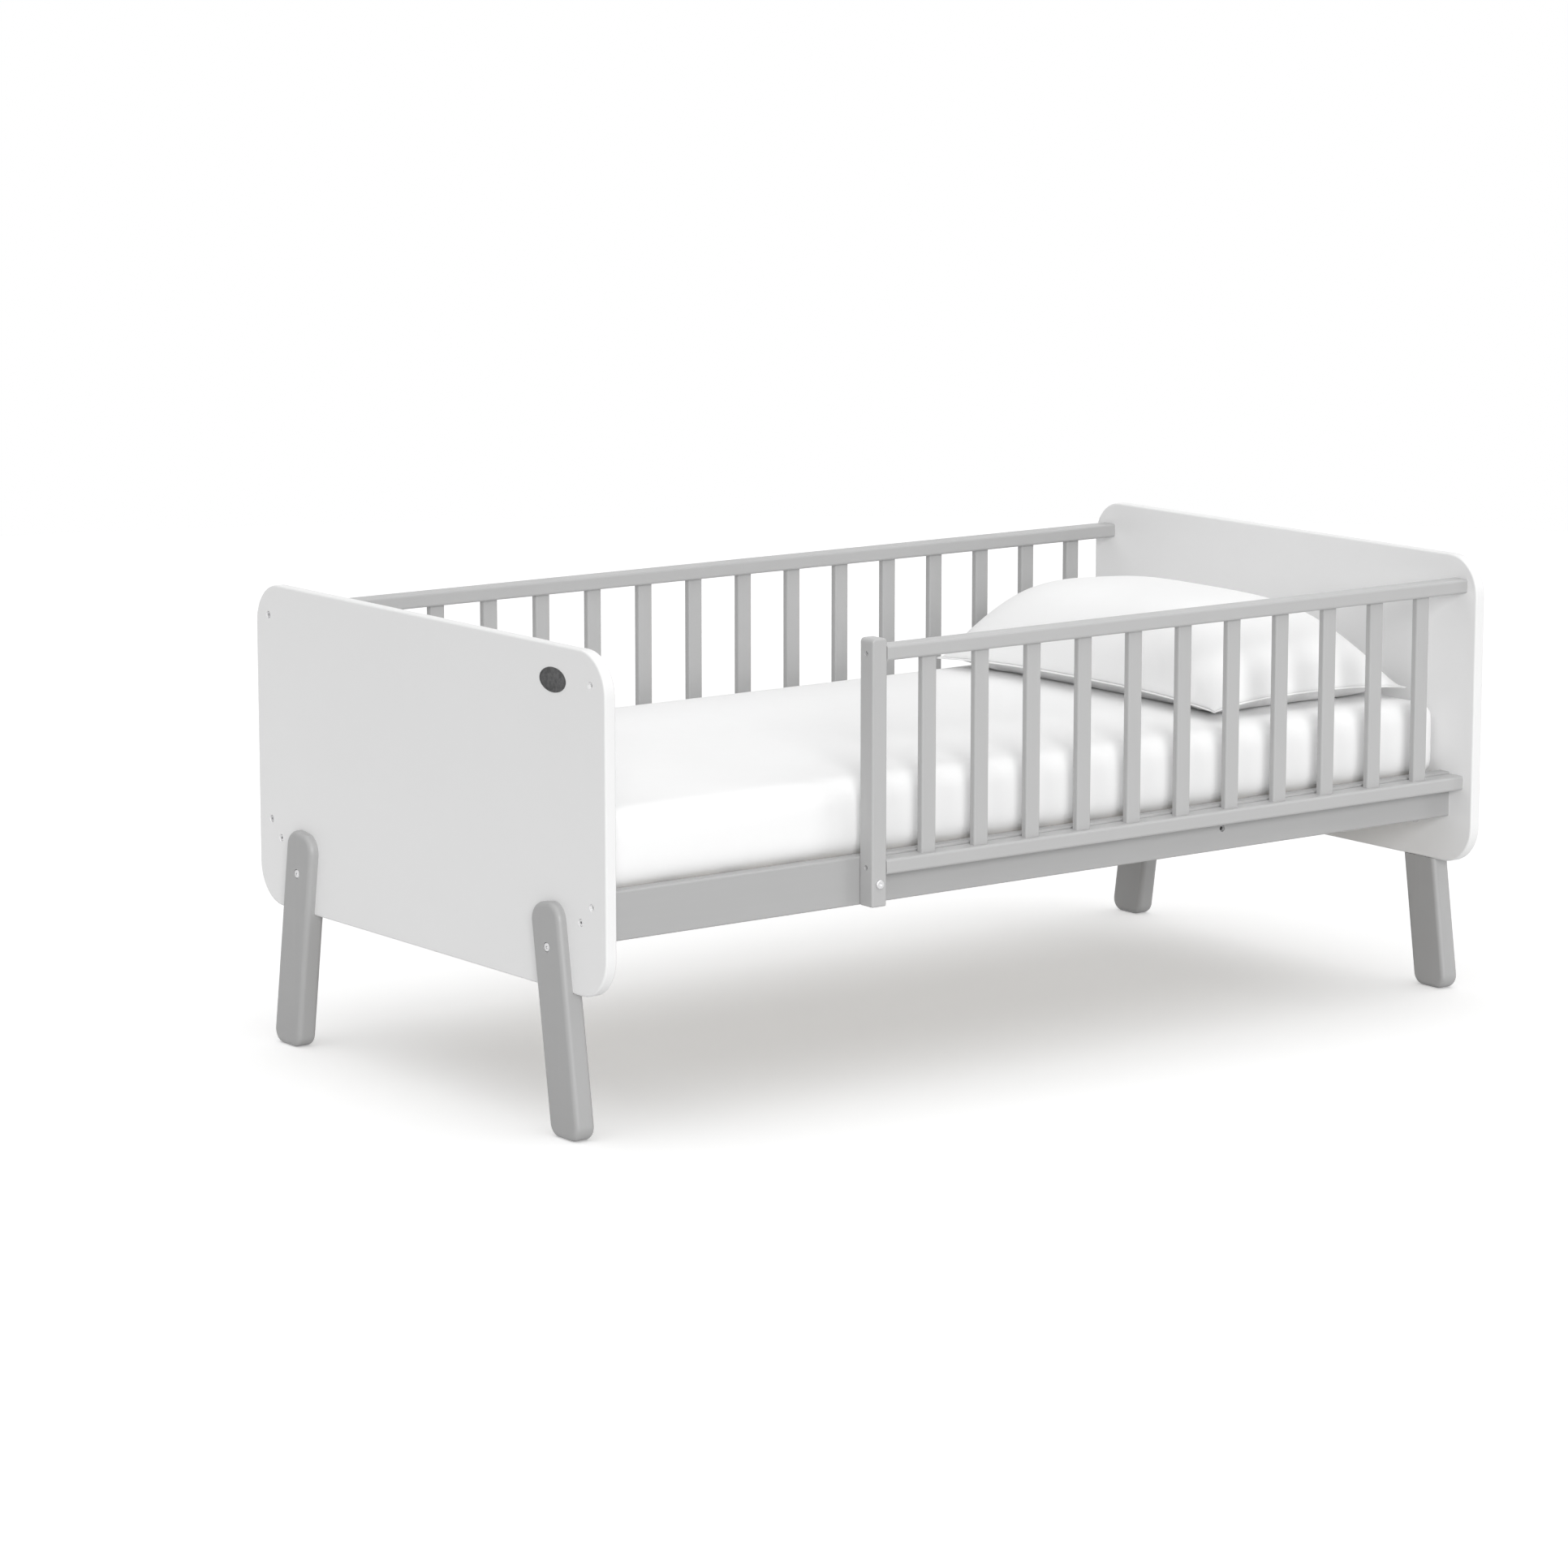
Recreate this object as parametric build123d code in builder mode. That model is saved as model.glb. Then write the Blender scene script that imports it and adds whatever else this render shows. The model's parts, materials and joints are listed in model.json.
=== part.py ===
from build123d import *

import os
from math import atan, cos, radians, sin, tan

# A toddler bed, in millimetres: two white end panels on splayed legs, grey side rails between
# them, a full-length guard along the rear, a part-length guard along the front, a slatted base,
# a mattress and a pillow. X runs from the foot to the head, Y from the front to the rear and Z
# up from the floor. The origin is on the floor, under the middle of the bed.

# ---- the whole bed ----
BED_LENGTH = 1670  # over the legs, which stand proud of the end panels
BED_WIDTH = 900  # over the end panels
BED_HEIGHT = 685

# ---- end panels: painted board with round corners ----
PANEL_THICKNESS = 18
PANEL_BOTTOM_Z = 205
PANEL_CORNER_R = 60
PANEL_EDGE_R = 3

# ---- legs: the upper half laps the outside of the panel, the panel stands on the shoulder ----
LEG_LAP = 14
LEG_WIDTH = 70  # measured level
LEG_FLOOR_Y = 365  # middle of the foot
LEG_SPLAY = 0.148  # how far a leg leans inwards for each millimetre of height
LEG_TOP_Z = 327
LEG_TOP_R = 26
LEG_FOOT_R = 20
LEG_EDGE_R = 8
LEG_BOLT_Z = 265
LEG_DOWEL_Z = 226

# ---- side rails ----
SIDE_RAIL_THICKNESS = 22
SIDE_RAIL_HEIGHT = 70
SIDE_RAIL_BOTTOM_Z = 277
SIDE_RAIL_OUTER_Y = 400
SIDE_RAIL_EDGE_R = 3
SIDE_RAIL_BOLT_Z = 308
SIDE_RAIL_DOWEL_Z = 334

# ---- guards: slats mortised into a top rail and a bottom rail ----
GUARD_DEPTH = 30
GUARD_RAIL_HEIGHT = 22
GUARD_TOP_Z = 650
GUARD_BOTTOM_Z = 322
GUARD_EDGE_R = 4
GUARD_SLAT_WIDTH = 26
GUARD_SLAT_THICKNESS = 12
GUARD_SLAT_EDGE_R = 3
GUARD_SLAT_PITCH = 96
REAR_GUARD_SLATS = 16
FRONT_GUARD_SLATS = 11
MORTISE_DEPTH = 8
MORTISE_GAP = 0.1  # all round a slat's end

# ---- the post that ends the front guard, bolted to the side rail ----
POST_X = -336
POST_WIDTH = 26
POST_TOP_Z = 661
POST_TOP_R = 6
POST_EDGE_R = 3
POST_BOLT_Z = 310

# ---- slatted base ----
LEDGER_WIDTH = 20
LEDGER_HEIGHT = 26
LEDGER_LENGTH = 1506
LEDGER_SCREW_XS = (-690, -230, 230, 690)
BASE_SLATS = 14
BASE_SLAT_PITCH = 110
BASE_SLAT_WIDTH = 70
BASE_SLAT_THICKNESS = 18
BASE_SLAT_EDGE_R = 2.5
BASE_SLAT_LENGTH = 752
WEBBING_Y = 230
WEBBING_WIDTH = 30
WEBBING_THICKNESS = 1.2

# ---- mattress and pillow ----
MATTRESS_LENGTH = 1600
MATTRESS_WIDTH = 750
MATTRESS_THICKNESS = 120
MATTRESS_BOTTOM_Z = 334
MATTRESS_CORNER_R = 24
MATTRESS_TOP_R = 22
MATTRESS_BOTTOM_R = 18
PILLOW_LENGTH = 688  # along Y
PILLOW_WIDTH = 408  # along X
PILLOW_THICKNESS = 150
PILLOW_HEAD_GAP = 10  # to the head panel
PILLOW_Y = 17
PILLOW_RIM_HEIGHT = 24  # where the upper and lower halves of its cover meet
PILLOW_WAIST = 12  # how far each side pulls in between its corners
PILLOW_CORNER_R = 30

# ---- badge on the foot panel: a plain oval plate with a raised rim ----
BADGE_HALF_WIDTH = 31.5
BADGE_HALF_HEIGHT = 17.5
BADGE_THICKNESS = 2.4
BADGE_RECESS = 1.4
BADGE_RIM = 2.2
BADGE_DISH = 0.5
BADGE_Y = -326
BADGE_Z = 636

# ---- fixings ----
THREAD_GAP = 0.05  # left round a thread, which is drawn as a plain shank
M6_R = 3
M6_CLEARANCE_R = 3.3
HEAD_GAP = 0.5  # left round a screw head
LEG_BOLT_HEAD_R = 6.5
LEG_BOLT_HEAD_HEIGHT = 3
LEG_BOLT_SEAT = 3.5
LEG_BOLT_LENGTH = 25
RAIL_BOLT_HEAD_R = 5
RAIL_BOLT_HEAD_HEIGHT = 5
RAIL_BOLT_SEAT = 6
RAIL_BOLT_LENGTH = 52
BARREL_NUT_R = 5
BARREL_NUT_LENGTH = 14
BARREL_NUT_INSET = 28  # from the end of the side rail
DOWEL_R = 4
DOWEL_LENGTH = 28
LEG_DOWEL_LENGTH = 20
PANEL_DOWEL_DEPTH = 11.5
TEE_NUT_FLANGE_R = 9.5
TEE_NUT_FLANGE = 1.5
TEE_NUT_BARREL_R = 4
TEE_NUT_LENGTH = 10
GUARD_SCREW_R = 3.5
GUARD_SCREW_HEAD_R = 5
GUARD_SCREW_HEAD_HEIGHT = 3
GUARD_SCREW_SEAT = 4
GUARD_SCREW_LENGTH = 50
POST_BOLT_LENGTH = 42
INSERT_R = 5
INSERT_LENGTH = 12
INSERT_DEPTH = 3  # from the rail's face to the insert
WOOD_SCREW_R = 2
WOOD_SCREW_HEAD_R = 3.9
COUNTERSINK_R = 4
COUNTERSINK_ANGLE = 82
POST_SCREW_LENGTH = 60
POST_SCREW_SEAT = 2
LEDGER_SCREW_LENGTH = 35
SLAT_SCREW_LENGTH = 34
SCREW_CHAMFER = 0.8
M6_SOCKET = 4  # across flats
CROSS_RECESS_LENGTH = 3.6
CROSS_RECESS_WIDTH = 1
NUT_SLOT = 1.5
DOWEL_CHAMFER = 1

# ---- places that follow from the sizes ----
LEG_OUTER_X = BED_LENGTH / 2
PANEL_OUTER_X = LEG_OUTER_X - LEG_LAP
PANEL_INNER_X = PANEL_OUTER_X - PANEL_THICKNESS
CLEAR_LENGTH = 2 * PANEL_INNER_X
SIDE_RAIL_Y = SIDE_RAIL_OUTER_Y - SIDE_RAIL_THICKNESS / 2
SIDE_RAIL_INNER_Y = SIDE_RAIL_OUTER_Y - SIDE_RAIL_THICKNESS
GUARD_Y = SIDE_RAIL_OUTER_Y + GUARD_DEPTH / 2
GUARD_TOP_RAIL_Z = GUARD_TOP_Z - GUARD_RAIL_HEIGHT / 2
GUARD_BOTTOM_RAIL_Z = GUARD_BOTTOM_Z + GUARD_RAIL_HEIGHT / 2
POST_HEAD_SIDE_X = POST_X + POST_WIDTH / 2
FRONT_GUARD_LENGTH = PANEL_INNER_X - POST_HEAD_SIDE_X
LEDGER_Y = SIDE_RAIL_INNER_Y - LEDGER_WIDTH / 2
LEDGER_TOP_Z = MATTRESS_BOTTOM_Z - BASE_SLAT_THICKNESS
LEDGER_Z = LEDGER_TOP_Z - LEDGER_HEIGHT / 2
BARREL_NUT_X = PANEL_INNER_X - BARREL_NUT_INSET
REAR_SLAT_XS = [GUARD_SLAT_PITCH * (i - (REAR_GUARD_SLATS - 1) / 2) for i in range(REAR_GUARD_SLATS)]
FRONT_SLAT_XS = REAR_SLAT_XS[-FRONT_GUARD_SLATS:]  # in line with the rear ones
BASE_SLAT_XS = [BASE_SLAT_PITCH * (i - (BASE_SLATS - 1) / 2) for i in range(BASE_SLATS)]

ENDS = {"foot": -1, "head": 1}  # sign of X
SIDES = {"front": -1, "rear": 1}  # sign of Y
GUARD_HOLES = [(side * GUARD_Y, z) for side in (-1, 1) for z in (GUARD_TOP_RAIL_Z, GUARD_BOTTOM_RAIL_Z)]
SIDE_RAIL_BOLTS = [(side * SIDE_RAIL_Y, SIDE_RAIL_BOLT_Z) for side in (-1, 1)]
SIDE_RAIL_DOWELS = [(side * SIDE_RAIL_Y, SIDE_RAIL_DOWEL_Z) for side in (-1, 1)]
LEG_BOLTS = [(side * (LEG_FLOOR_Y - LEG_SPLAY * LEG_BOLT_Z), LEG_BOLT_Z) for side in (-1, 1)]
LEG_DOWELS = [(side * (LEG_FLOOR_Y - LEG_SPLAY * LEG_DOWEL_Z), LEG_DOWEL_Z) for side in (-1, 1)]


def facing_end(end, x):
    """The upright plane at end * x that looks out past that end of the bed, Z upwards in it."""
    return Plane(origin=(end * x, 0, 0), x_dir=(0, end, 0), z_dir=(end, 0, 0))


def facing_side(side, y):
    """The upright plane at side * y that looks out past that side of the bed, Z upwards in it."""
    return Plane(origin=(0, side * y, 0), x_dir=(-side, 0, 0), z_dir=(0, side, 0))


def places_on(plane, points):
    """Places at flat points of a plane, each with its own Z along the plane's normal."""
    return [plane.location * Location((x, y, 0)) for x, y in points]


def save(piece, name):
    """Labels a finished piece and writes it as one STEP file."""
    piece.label = name
    export_step(piece, f"parts/{name}.step")


def spread(piece, places):
    """One part that holds a separate copy of the piece at each place."""
    with BuildPart() as group:
        with Locations(*places):
            add(piece)
    return group.part


# ======================================================================================
# Panels, legs and rails
# ======================================================================================


def end_panel(end):
    """A round-cornered board with every hole that the legs, side rails and guards need."""
    outside = facing_end(end, PANEL_OUTER_X)
    inside = facing_end(-end, -PANEL_INNER_X)
    panel_height = BED_HEIGHT - PANEL_BOTTOM_Z
    with BuildPart() as panel:
        with BuildSketch(outside):
            with Locations((0, PANEL_BOTTOM_Z + panel_height / 2)):
                RectangleRounded(BED_WIDTH, panel_height, PANEL_CORNER_R)
        extrude(amount=-PANEL_THICKNESS)
        fillet(panel.faces().filter_by(Axis.X).edges(), PANEL_EDGE_R)
        with Locations(*places_on(outside, GUARD_HOLES)):
            CounterBoreHole(GUARD_SCREW_R + THREAD_GAP, GUARD_SCREW_HEAD_R + HEAD_GAP, GUARD_SCREW_SEAT)
        with Locations(*places_on(outside, SIDE_RAIL_BOLTS)):
            CounterBoreHole(M6_CLEARANCE_R, RAIL_BOLT_HEAD_R + HEAD_GAP, RAIL_BOLT_SEAT)
        with Locations(*places_on(outside, LEG_BOLTS)):
            Hole(M6_CLEARANCE_R)
        with Locations(*places_on(outside, LEG_DOWELS)):
            Hole(DOWEL_R, PANEL_DOWEL_DEPTH)
        with Locations(*places_on(inside, LEG_BOLTS)):
            CounterBoreHole(
                TEE_NUT_BARREL_R + THREAD_GAP, TEE_NUT_FLANGE_R + THREAD_GAP, TEE_NUT_FLANGE, TEE_NUT_LENGTH
            )
        with Locations(*places_on(inside, SIDE_RAIL_DOWELS)):
            Hole(DOWEL_R, PANEL_DOWEL_DEPTH)
    return panel


foot_panel = end_panel(ENDS["foot"])
with BuildPart() as badged_foot_panel:
    add(foot_panel.part)
    with BuildSketch(facing_end(ENDS["foot"], PANEL_OUTER_X)):
        with Locations((-BADGE_Y, BADGE_Z)):
            Ellipse(BADGE_HALF_WIDTH + THREAD_GAP, BADGE_HALF_HEIGHT + THREAD_GAP)
    extrude(amount=-BADGE_RECESS, mode=Mode.SUBTRACT)
save(badged_foot_panel.part, "foot_panel")

head_panel = end_panel(ENDS["head"])
save(head_panel.part, "head_panel")

with BuildPart() as badge_plate:
    with BuildSketch(facing_end(ENDS["foot"], PANEL_OUTER_X - BADGE_RECESS)):
        with Locations((-BADGE_Y, BADGE_Z)):
            Ellipse(BADGE_HALF_WIDTH, BADGE_HALF_HEIGHT)
    extrude(amount=BADGE_THICKNESS)
    fillet(badge_plate.faces().sort_by(Axis.X)[0].edges(), BADGE_THICKNESS - BADGE_RECESS)
    with BuildSketch(facing_end(ENDS["foot"], PANEL_OUTER_X - BADGE_RECESS + BADGE_THICKNESS)):
        with Locations((-BADGE_Y, BADGE_Z)):
            Ellipse(BADGE_HALF_WIDTH - BADGE_RIM, BADGE_HALF_HEIGHT - BADGE_RIM)
    extrude(amount=-BADGE_DISH, mode=Mode.SUBTRACT)
save(badge_plate.part, "badge_plate")


def leg_outline(side):
    """Corners of a leg seen along X, foot first: level at the floor, square to its axis on top."""
    lean = atan(LEG_SPLAY)
    half_width = LEG_WIDTH / 2 * cos(lean)
    top_y = LEG_FLOOR_Y - LEG_SPLAY * LEG_TOP_Z
    across = half_width * cos(lean)
    rise = half_width * sin(lean)
    corners = [
        (LEG_FLOOR_Y - LEG_WIDTH / 2, 0),
        (LEG_FLOOR_Y + LEG_WIDTH / 2, 0),
        (top_y + across, LEG_TOP_Z + rise),
        (top_y - across, LEG_TOP_Z - rise),
    ]
    return [(side * y, z) for y, z in corners]


def leg(end, side):
    """A splayed leg: full depth under the panel, a thinner tongue up the panel's outside."""
    bolt = [point for point in LEG_BOLTS if point[0] * side > 0]
    dowel = [point for point in LEG_DOWELS if point[0] * side > 0]
    outside = facing_end(end, LEG_OUTER_X)
    panel_face = facing_end(-end, -PANEL_OUTER_X)
    with BuildPart() as piece:
        with BuildSketch(outside) as outline:
            with BuildLine():
                Polyline(*leg_outline(side * end), close=True)
            make_face()
            fillet(outline.vertices().sort_by(Axis.Y)[-2:], LEG_TOP_R)
            fillet(outline.vertices().sort_by(Axis.Y)[:2], LEG_FOOT_R)
        extrude(amount=-LEG_LAP - PANEL_THICKNESS)
        with BuildSketch(facing_end(end, PANEL_OUTER_X)):
            with Locations((side * end * LEG_FLOOR_Y, PANEL_BOTTOM_Z)):
                Rectangle(4 * LEG_WIDTH, LEG_TOP_Z, align=(Align.CENTER, Align.MIN))
        extrude(amount=-PANEL_THICKNESS, mode=Mode.SUBTRACT)
        outer_face, inner_face = [piece.faces().sort_by(Axis.X)[i] for i in ((0, -1) if end < 0 else (-1, 0))]
        shoulder = inner_face.edges().sort_by(Axis.Z)[-1]
        fillet(outer_face.edges() + (inner_face.edges() - ShapeList([shoulder])), LEG_EDGE_R)
        with Locations(*places_on(outside, [(end * y, z) for y, z in bolt])):
            CounterBoreHole(M6_CLEARANCE_R, LEG_BOLT_HEAD_R + HEAD_GAP, LEG_BOLT_SEAT, LEG_BOLT_LENGTH)
        with Locations(*places_on(panel_face, [(-end * y, z) for y, z in dowel])):
            Hole(DOWEL_R, LEG_DOWEL_LENGTH - PANEL_DOWEL_DEPTH + HEAD_GAP)
    return piece


for end_name, end in ENDS.items():
    for side_name, side in SIDES.items():
        bed_leg = leg(end, side)
        save(bed_leg.part, f"{end_name}_{side_name}_leg")


def side_rail(side, post_holes):
    """A side rail, drilled for its end bolts, barrel nuts, dowels, ledger and, if asked, the post."""
    inner_face = facing_side(-side, -SIDE_RAIL_INNER_Y)
    outer_face = facing_side(side, SIDE_RAIL_OUTER_Y)
    with BuildPart() as rail:
        with BuildSketch(facing_end(1, -PANEL_INNER_X)):
            with Locations((side * SIDE_RAIL_Y, SIDE_RAIL_BOTTOM_Z + SIDE_RAIL_HEIGHT / 2)):
                RectangleRounded(SIDE_RAIL_THICKNESS, SIDE_RAIL_HEIGHT, SIDE_RAIL_EDGE_R)
        extrude(amount=CLEAR_LENGTH)
        for end in ENDS.values():
            rail_end = facing_end(end, PANEL_INNER_X)
            with Locations(*places_on(rail_end, [(end * side * SIDE_RAIL_Y, SIDE_RAIL_BOLT_Z)])):
                Hole(M6_CLEARANCE_R, RAIL_BOLT_LENGTH - PANEL_THICKNESS + RAIL_BOLT_SEAT + 1)
            with Locations(*places_on(rail_end, [(end * side * SIDE_RAIL_Y, SIDE_RAIL_DOWEL_Z)])):
                Hole(DOWEL_R, DOWEL_LENGTH - PANEL_DOWEL_DEPTH + HEAD_GAP)
        with Locations(*places_on(inner_face, [(end * BARREL_NUT_X, SIDE_RAIL_BOLT_Z) for end in (-1, 1)])):
            Hole(BARREL_NUT_R + THREAD_GAP, SIDE_RAIL_THICKNESS / 2 + BARREL_NUT_LENGTH / 2)
        with Locations(*places_on(inner_face, [(x, LEDGER_Z) for x in LEDGER_SCREW_XS])):
            Hole(WOOD_SCREW_R + THREAD_GAP, LEDGER_SCREW_LENGTH - LEDGER_WIDTH + 1)
        if post_holes:
            with Locations(*places_on(outer_face, [(-POST_X, POST_BOLT_Z), (POST_X, POST_BOLT_Z)])):
                Hole(INSERT_R, INSERT_DEPTH + INSERT_LENGTH)
    return rail


front_side_rail = side_rail(SIDES["front"], post_holes=True)
save(front_side_rail.part, "front_side_rail")
rear_side_rail = side_rail(SIDES["rear"], post_holes=False)
save(rear_side_rail.part, "rear_side_rail")

# ======================================================================================
# Guards
# ======================================================================================


def guard_rail(side, rail_z, start_x, length, slat_xs, mortise_up, screwed_ends):
    """A guard's top or bottom rail: a mortise for each slat and a pilot hole in each screwed end."""
    mouth_z = rail_z + (-1 if mortise_up else 1) * GUARD_RAIL_HEIGHT / 2
    with BuildPart() as rail:
        with BuildSketch(facing_end(1, start_x)):
            with Locations((side * GUARD_Y, rail_z)):
                RectangleRounded(GUARD_DEPTH, GUARD_RAIL_HEIGHT, GUARD_EDGE_R)
        extrude(amount=length)
        with BuildSketch(Plane.XY.offset(mouth_z)):
            with Locations(*[(x, side * GUARD_Y) for x in slat_xs]):
                RectangleRounded(
                    GUARD_SLAT_WIDTH + 2 * MORTISE_GAP,
                    GUARD_SLAT_THICKNESS + 2 * MORTISE_GAP,
                    GUARD_SLAT_EDGE_R + MORTISE_GAP,
                )
        extrude(amount=MORTISE_DEPTH if mortise_up else -MORTISE_DEPTH, mode=Mode.SUBTRACT)
        for end in screwed_ends:
            with Locations(*places_on(facing_end(end, PANEL_INNER_X), [(end * side * GUARD_Y, rail_z)])):
                Hole(GUARD_SCREW_R + THREAD_GAP, GUARD_SCREW_LENGTH - PANEL_THICKNESS + GUARD_SCREW_SEAT + 1)
        if start_x > -PANEL_INNER_X:
            with Locations(*places_on(facing_end(-1, -start_x), [(-side * GUARD_Y, rail_z)])):
                Hole(WOOD_SCREW_R + THREAD_GAP, POST_SCREW_LENGTH - POST_WIDTH + POST_SCREW_SEAT + 1)
    return rail


def guard_slat(side, x):
    """An upright slat that reaches the floor of its mortises in both rails."""
    bottom_z = GUARD_BOTTOM_Z + GUARD_RAIL_HEIGHT - MORTISE_DEPTH
    top_z = GUARD_TOP_Z - GUARD_RAIL_HEIGHT + MORTISE_DEPTH
    with BuildPart() as slat:
        with BuildSketch(Plane.XY.offset(bottom_z)):
            with Locations((x, side * GUARD_Y)):
                RectangleRounded(GUARD_SLAT_WIDTH, GUARD_SLAT_THICKNESS, GUARD_SLAT_EDGE_R)
        extrude(amount=top_z - bottom_z)
    return slat


def save_guard(side_name, start_x, length, slat_xs, screwed_ends):
    """Writes the two rails and the slats of one guard."""
    side = SIDES[side_name]
    rails = {"top": (GUARD_TOP_RAIL_Z, True), "bottom": (GUARD_BOTTOM_RAIL_Z, False)}
    for rail_name, (rail_z, mortise_up) in rails.items():
        rail = guard_rail(side, rail_z, start_x, length, slat_xs, mortise_up, screwed_ends)
        save(rail.part, f"{side_name}_guard_{rail_name}_rail")
    for number, x in enumerate(slat_xs, start=1):
        slat = guard_slat(side, x)
        save(slat.part, f"{side_name}_guard_slat_{number:02d}")


save_guard("rear", -PANEL_INNER_X, CLEAR_LENGTH, REAR_SLAT_XS, screwed_ends=(-1, 1))
save_guard("front", POST_HEAD_SIDE_X, FRONT_GUARD_LENGTH, FRONT_SLAT_XS, screwed_ends=(1,))

post_outer_face = facing_side(SIDES["front"], SIDE_RAIL_OUTER_Y + GUARD_DEPTH)
post_foot_face = facing_end(-1, -POST_X + POST_WIDTH / 2)
post_screw_points = [(GUARD_Y, GUARD_TOP_RAIL_Z), (GUARD_Y, GUARD_BOTTOM_RAIL_Z)]

with BuildPart() as front_guard_post:
    with BuildSketch(post_outer_face) as post_outline:
        with Locations((POST_X, SIDE_RAIL_BOTTOM_Z)):
            Rectangle(POST_WIDTH, POST_TOP_Z - SIDE_RAIL_BOTTOM_Z, align=(Align.CENTER, Align.MIN))
        fillet(post_outline.vertices().sort_by(Axis.Y)[-2:], POST_TOP_R)
        fillet(post_outline.vertices().sort_by(Axis.Y)[:2], POST_EDGE_R)
    extrude(amount=-GUARD_DEPTH)
    fillet(front_guard_post.faces().filter_by(Axis.Y).edges(), POST_EDGE_R)
    with Locations(*places_on(post_outer_face, [(POST_X, POST_BOLT_Z)])):
        Hole(M6_CLEARANCE_R)
    with Locations(*places_on(post_foot_face.offset(-POST_SCREW_SEAT), post_screw_points)):
        CounterSinkHole(WOOD_SCREW_R + THREAD_GAP, COUNTERSINK_R)
save(front_guard_post.part, "front_guard_post")

# ======================================================================================
# Slatted base
# ======================================================================================


def slat_screw_points(side):
    """Where the first and the last base slat are screwed to the ledger on one side, from above."""
    return [(x, side * LEDGER_Y) for x in (BASE_SLAT_XS[0], BASE_SLAT_XS[-1])]


def ledger(side):
    """A strip along the inside of a side rail, which carries the ends of the base slats."""
    inner_face = facing_side(-side, -LEDGER_Y + LEDGER_WIDTH / 2)
    with BuildPart() as strip:
        with BuildSketch(facing_end(1, -LEDGER_LENGTH / 2)):
            with Locations((side * LEDGER_Y, LEDGER_Z)):
                Rectangle(LEDGER_WIDTH, LEDGER_HEIGHT)
        extrude(amount=LEDGER_LENGTH)
        chamfer(strip.edges().filter_by(Axis.X).group_by(Axis.Z)[0], 2)
        with Locations(*places_on(inner_face, [(x, LEDGER_Z) for x in LEDGER_SCREW_XS])):
            CounterSinkHole(WOOD_SCREW_R + THREAD_GAP, COUNTERSINK_R)
        with Locations(*places_on(Plane.XY.offset(LEDGER_TOP_Z), slat_screw_points(side))):
            Hole(WOOD_SCREW_R + THREAD_GAP, SLAT_SCREW_LENGTH - BASE_SLAT_THICKNESS + 1)
    return strip


for side_name, side in SIDES.items():
    rail_ledger = ledger(side)
    save(rail_ledger.part, f"{side_name}_ledger")

with BuildPart() as base_slats:
    with BuildSketch(facing_side(1, -BASE_SLAT_LENGTH / 2)):
        with Locations(*[(x, MATTRESS_BOTTOM_Z - BASE_SLAT_THICKNESS / 2) for x in BASE_SLAT_XS]):
            RectangleRounded(BASE_SLAT_WIDTH, BASE_SLAT_THICKNESS, BASE_SLAT_EDGE_R)
    extrude(amount=BASE_SLAT_LENGTH)
    slat_screw_places = slat_screw_points(SIDES["front"]) + slat_screw_points(SIDES["rear"])
    with Locations(*places_on(Plane.XY.offset(MATTRESS_BOTTOM_Z), slat_screw_places)):
        CounterSinkHole(WOOD_SCREW_R + THREAD_GAP, COUNTERSINK_R, BASE_SLAT_THICKNESS + 1)
save(base_slats.part, "base_slats")

with BuildPart() as slat_webbing:
    with BuildSketch(Plane.XY.offset(LEDGER_TOP_Z)):
        with Locations((0, -WEBBING_Y), (0, WEBBING_Y)):
            Rectangle(BASE_SLAT_XS[-1] - BASE_SLAT_XS[0] + BASE_SLAT_WIDTH / 2, WEBBING_WIDTH)
    extrude(amount=-WEBBING_THICKNESS)
save(slat_webbing.part, "slat_webbing")

# ======================================================================================
# Fixings: each is modelled once, head up along Z, and copied to its places
# ======================================================================================


def socket_screw(head_radius, head_height, shank_radius, length, socket_width):
    """A screw with a hexagon socket, its head seated on the plane Z = 0."""
    with BuildPart() as screw:
        with BuildSketch():
            Circle(head_radius)
        extrude(amount=head_height)
        chamfer(screw.faces().sort_by(Axis.Z)[-1].edges(), SCREW_CHAMFER)
        with BuildSketch(Plane.XY.offset(head_height)):
            RegularPolygon(socket_width / 2, 6, major_radius=False)
        extrude(amount=-0.6 * head_height, mode=Mode.SUBTRACT)
        with BuildSketch():
            Circle(shank_radius)
        extrude(amount=-length)
        chamfer(screw.faces().sort_by(Axis.Z)[0].edges(), SCREW_CHAMFER)
    return screw.part


def wood_screw(length):
    """A countersunk screw with a cross recess, the top of its head on the plane Z = 0."""
    head_depth = (WOOD_SCREW_HEAD_R - WOOD_SCREW_R) / tan(radians(COUNTERSINK_ANGLE / 2))
    with BuildPart() as screw:
        with BuildSketch(Plane.XZ):
            with BuildLine():
                Polyline(
                    (0, 0),
                    (WOOD_SCREW_HEAD_R, 0),
                    (WOOD_SCREW_R, -head_depth),
                    (WOOD_SCREW_R, -length + 2 * WOOD_SCREW_R),
                    (0, -length),
                    close=True,
                )
            make_face()
        revolve(axis=Axis.Z)
        with BuildSketch():
            Rectangle(CROSS_RECESS_LENGTH, CROSS_RECESS_WIDTH)
            Rectangle(CROSS_RECESS_WIDTH, CROSS_RECESS_LENGTH)
        extrude(amount=-head_depth / 2, mode=Mode.SUBTRACT)
    return screw.part


def dowel(length):
    """A wooden dowel with chamfered ends, its middle at the origin."""
    with BuildPart() as peg:
        with BuildSketch():
            Circle(DOWEL_R)
        extrude(amount=length / 2, both=True)
        chamfer(peg.edges(), DOWEL_CHAMFER)
    return peg.part


def at_both_ends(x, points):
    """Places at the same points on the outwards-looking plane of each end of the bed."""
    return [place for end in ENDS.values() for place in places_on(facing_end(end, x), points)]


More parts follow.
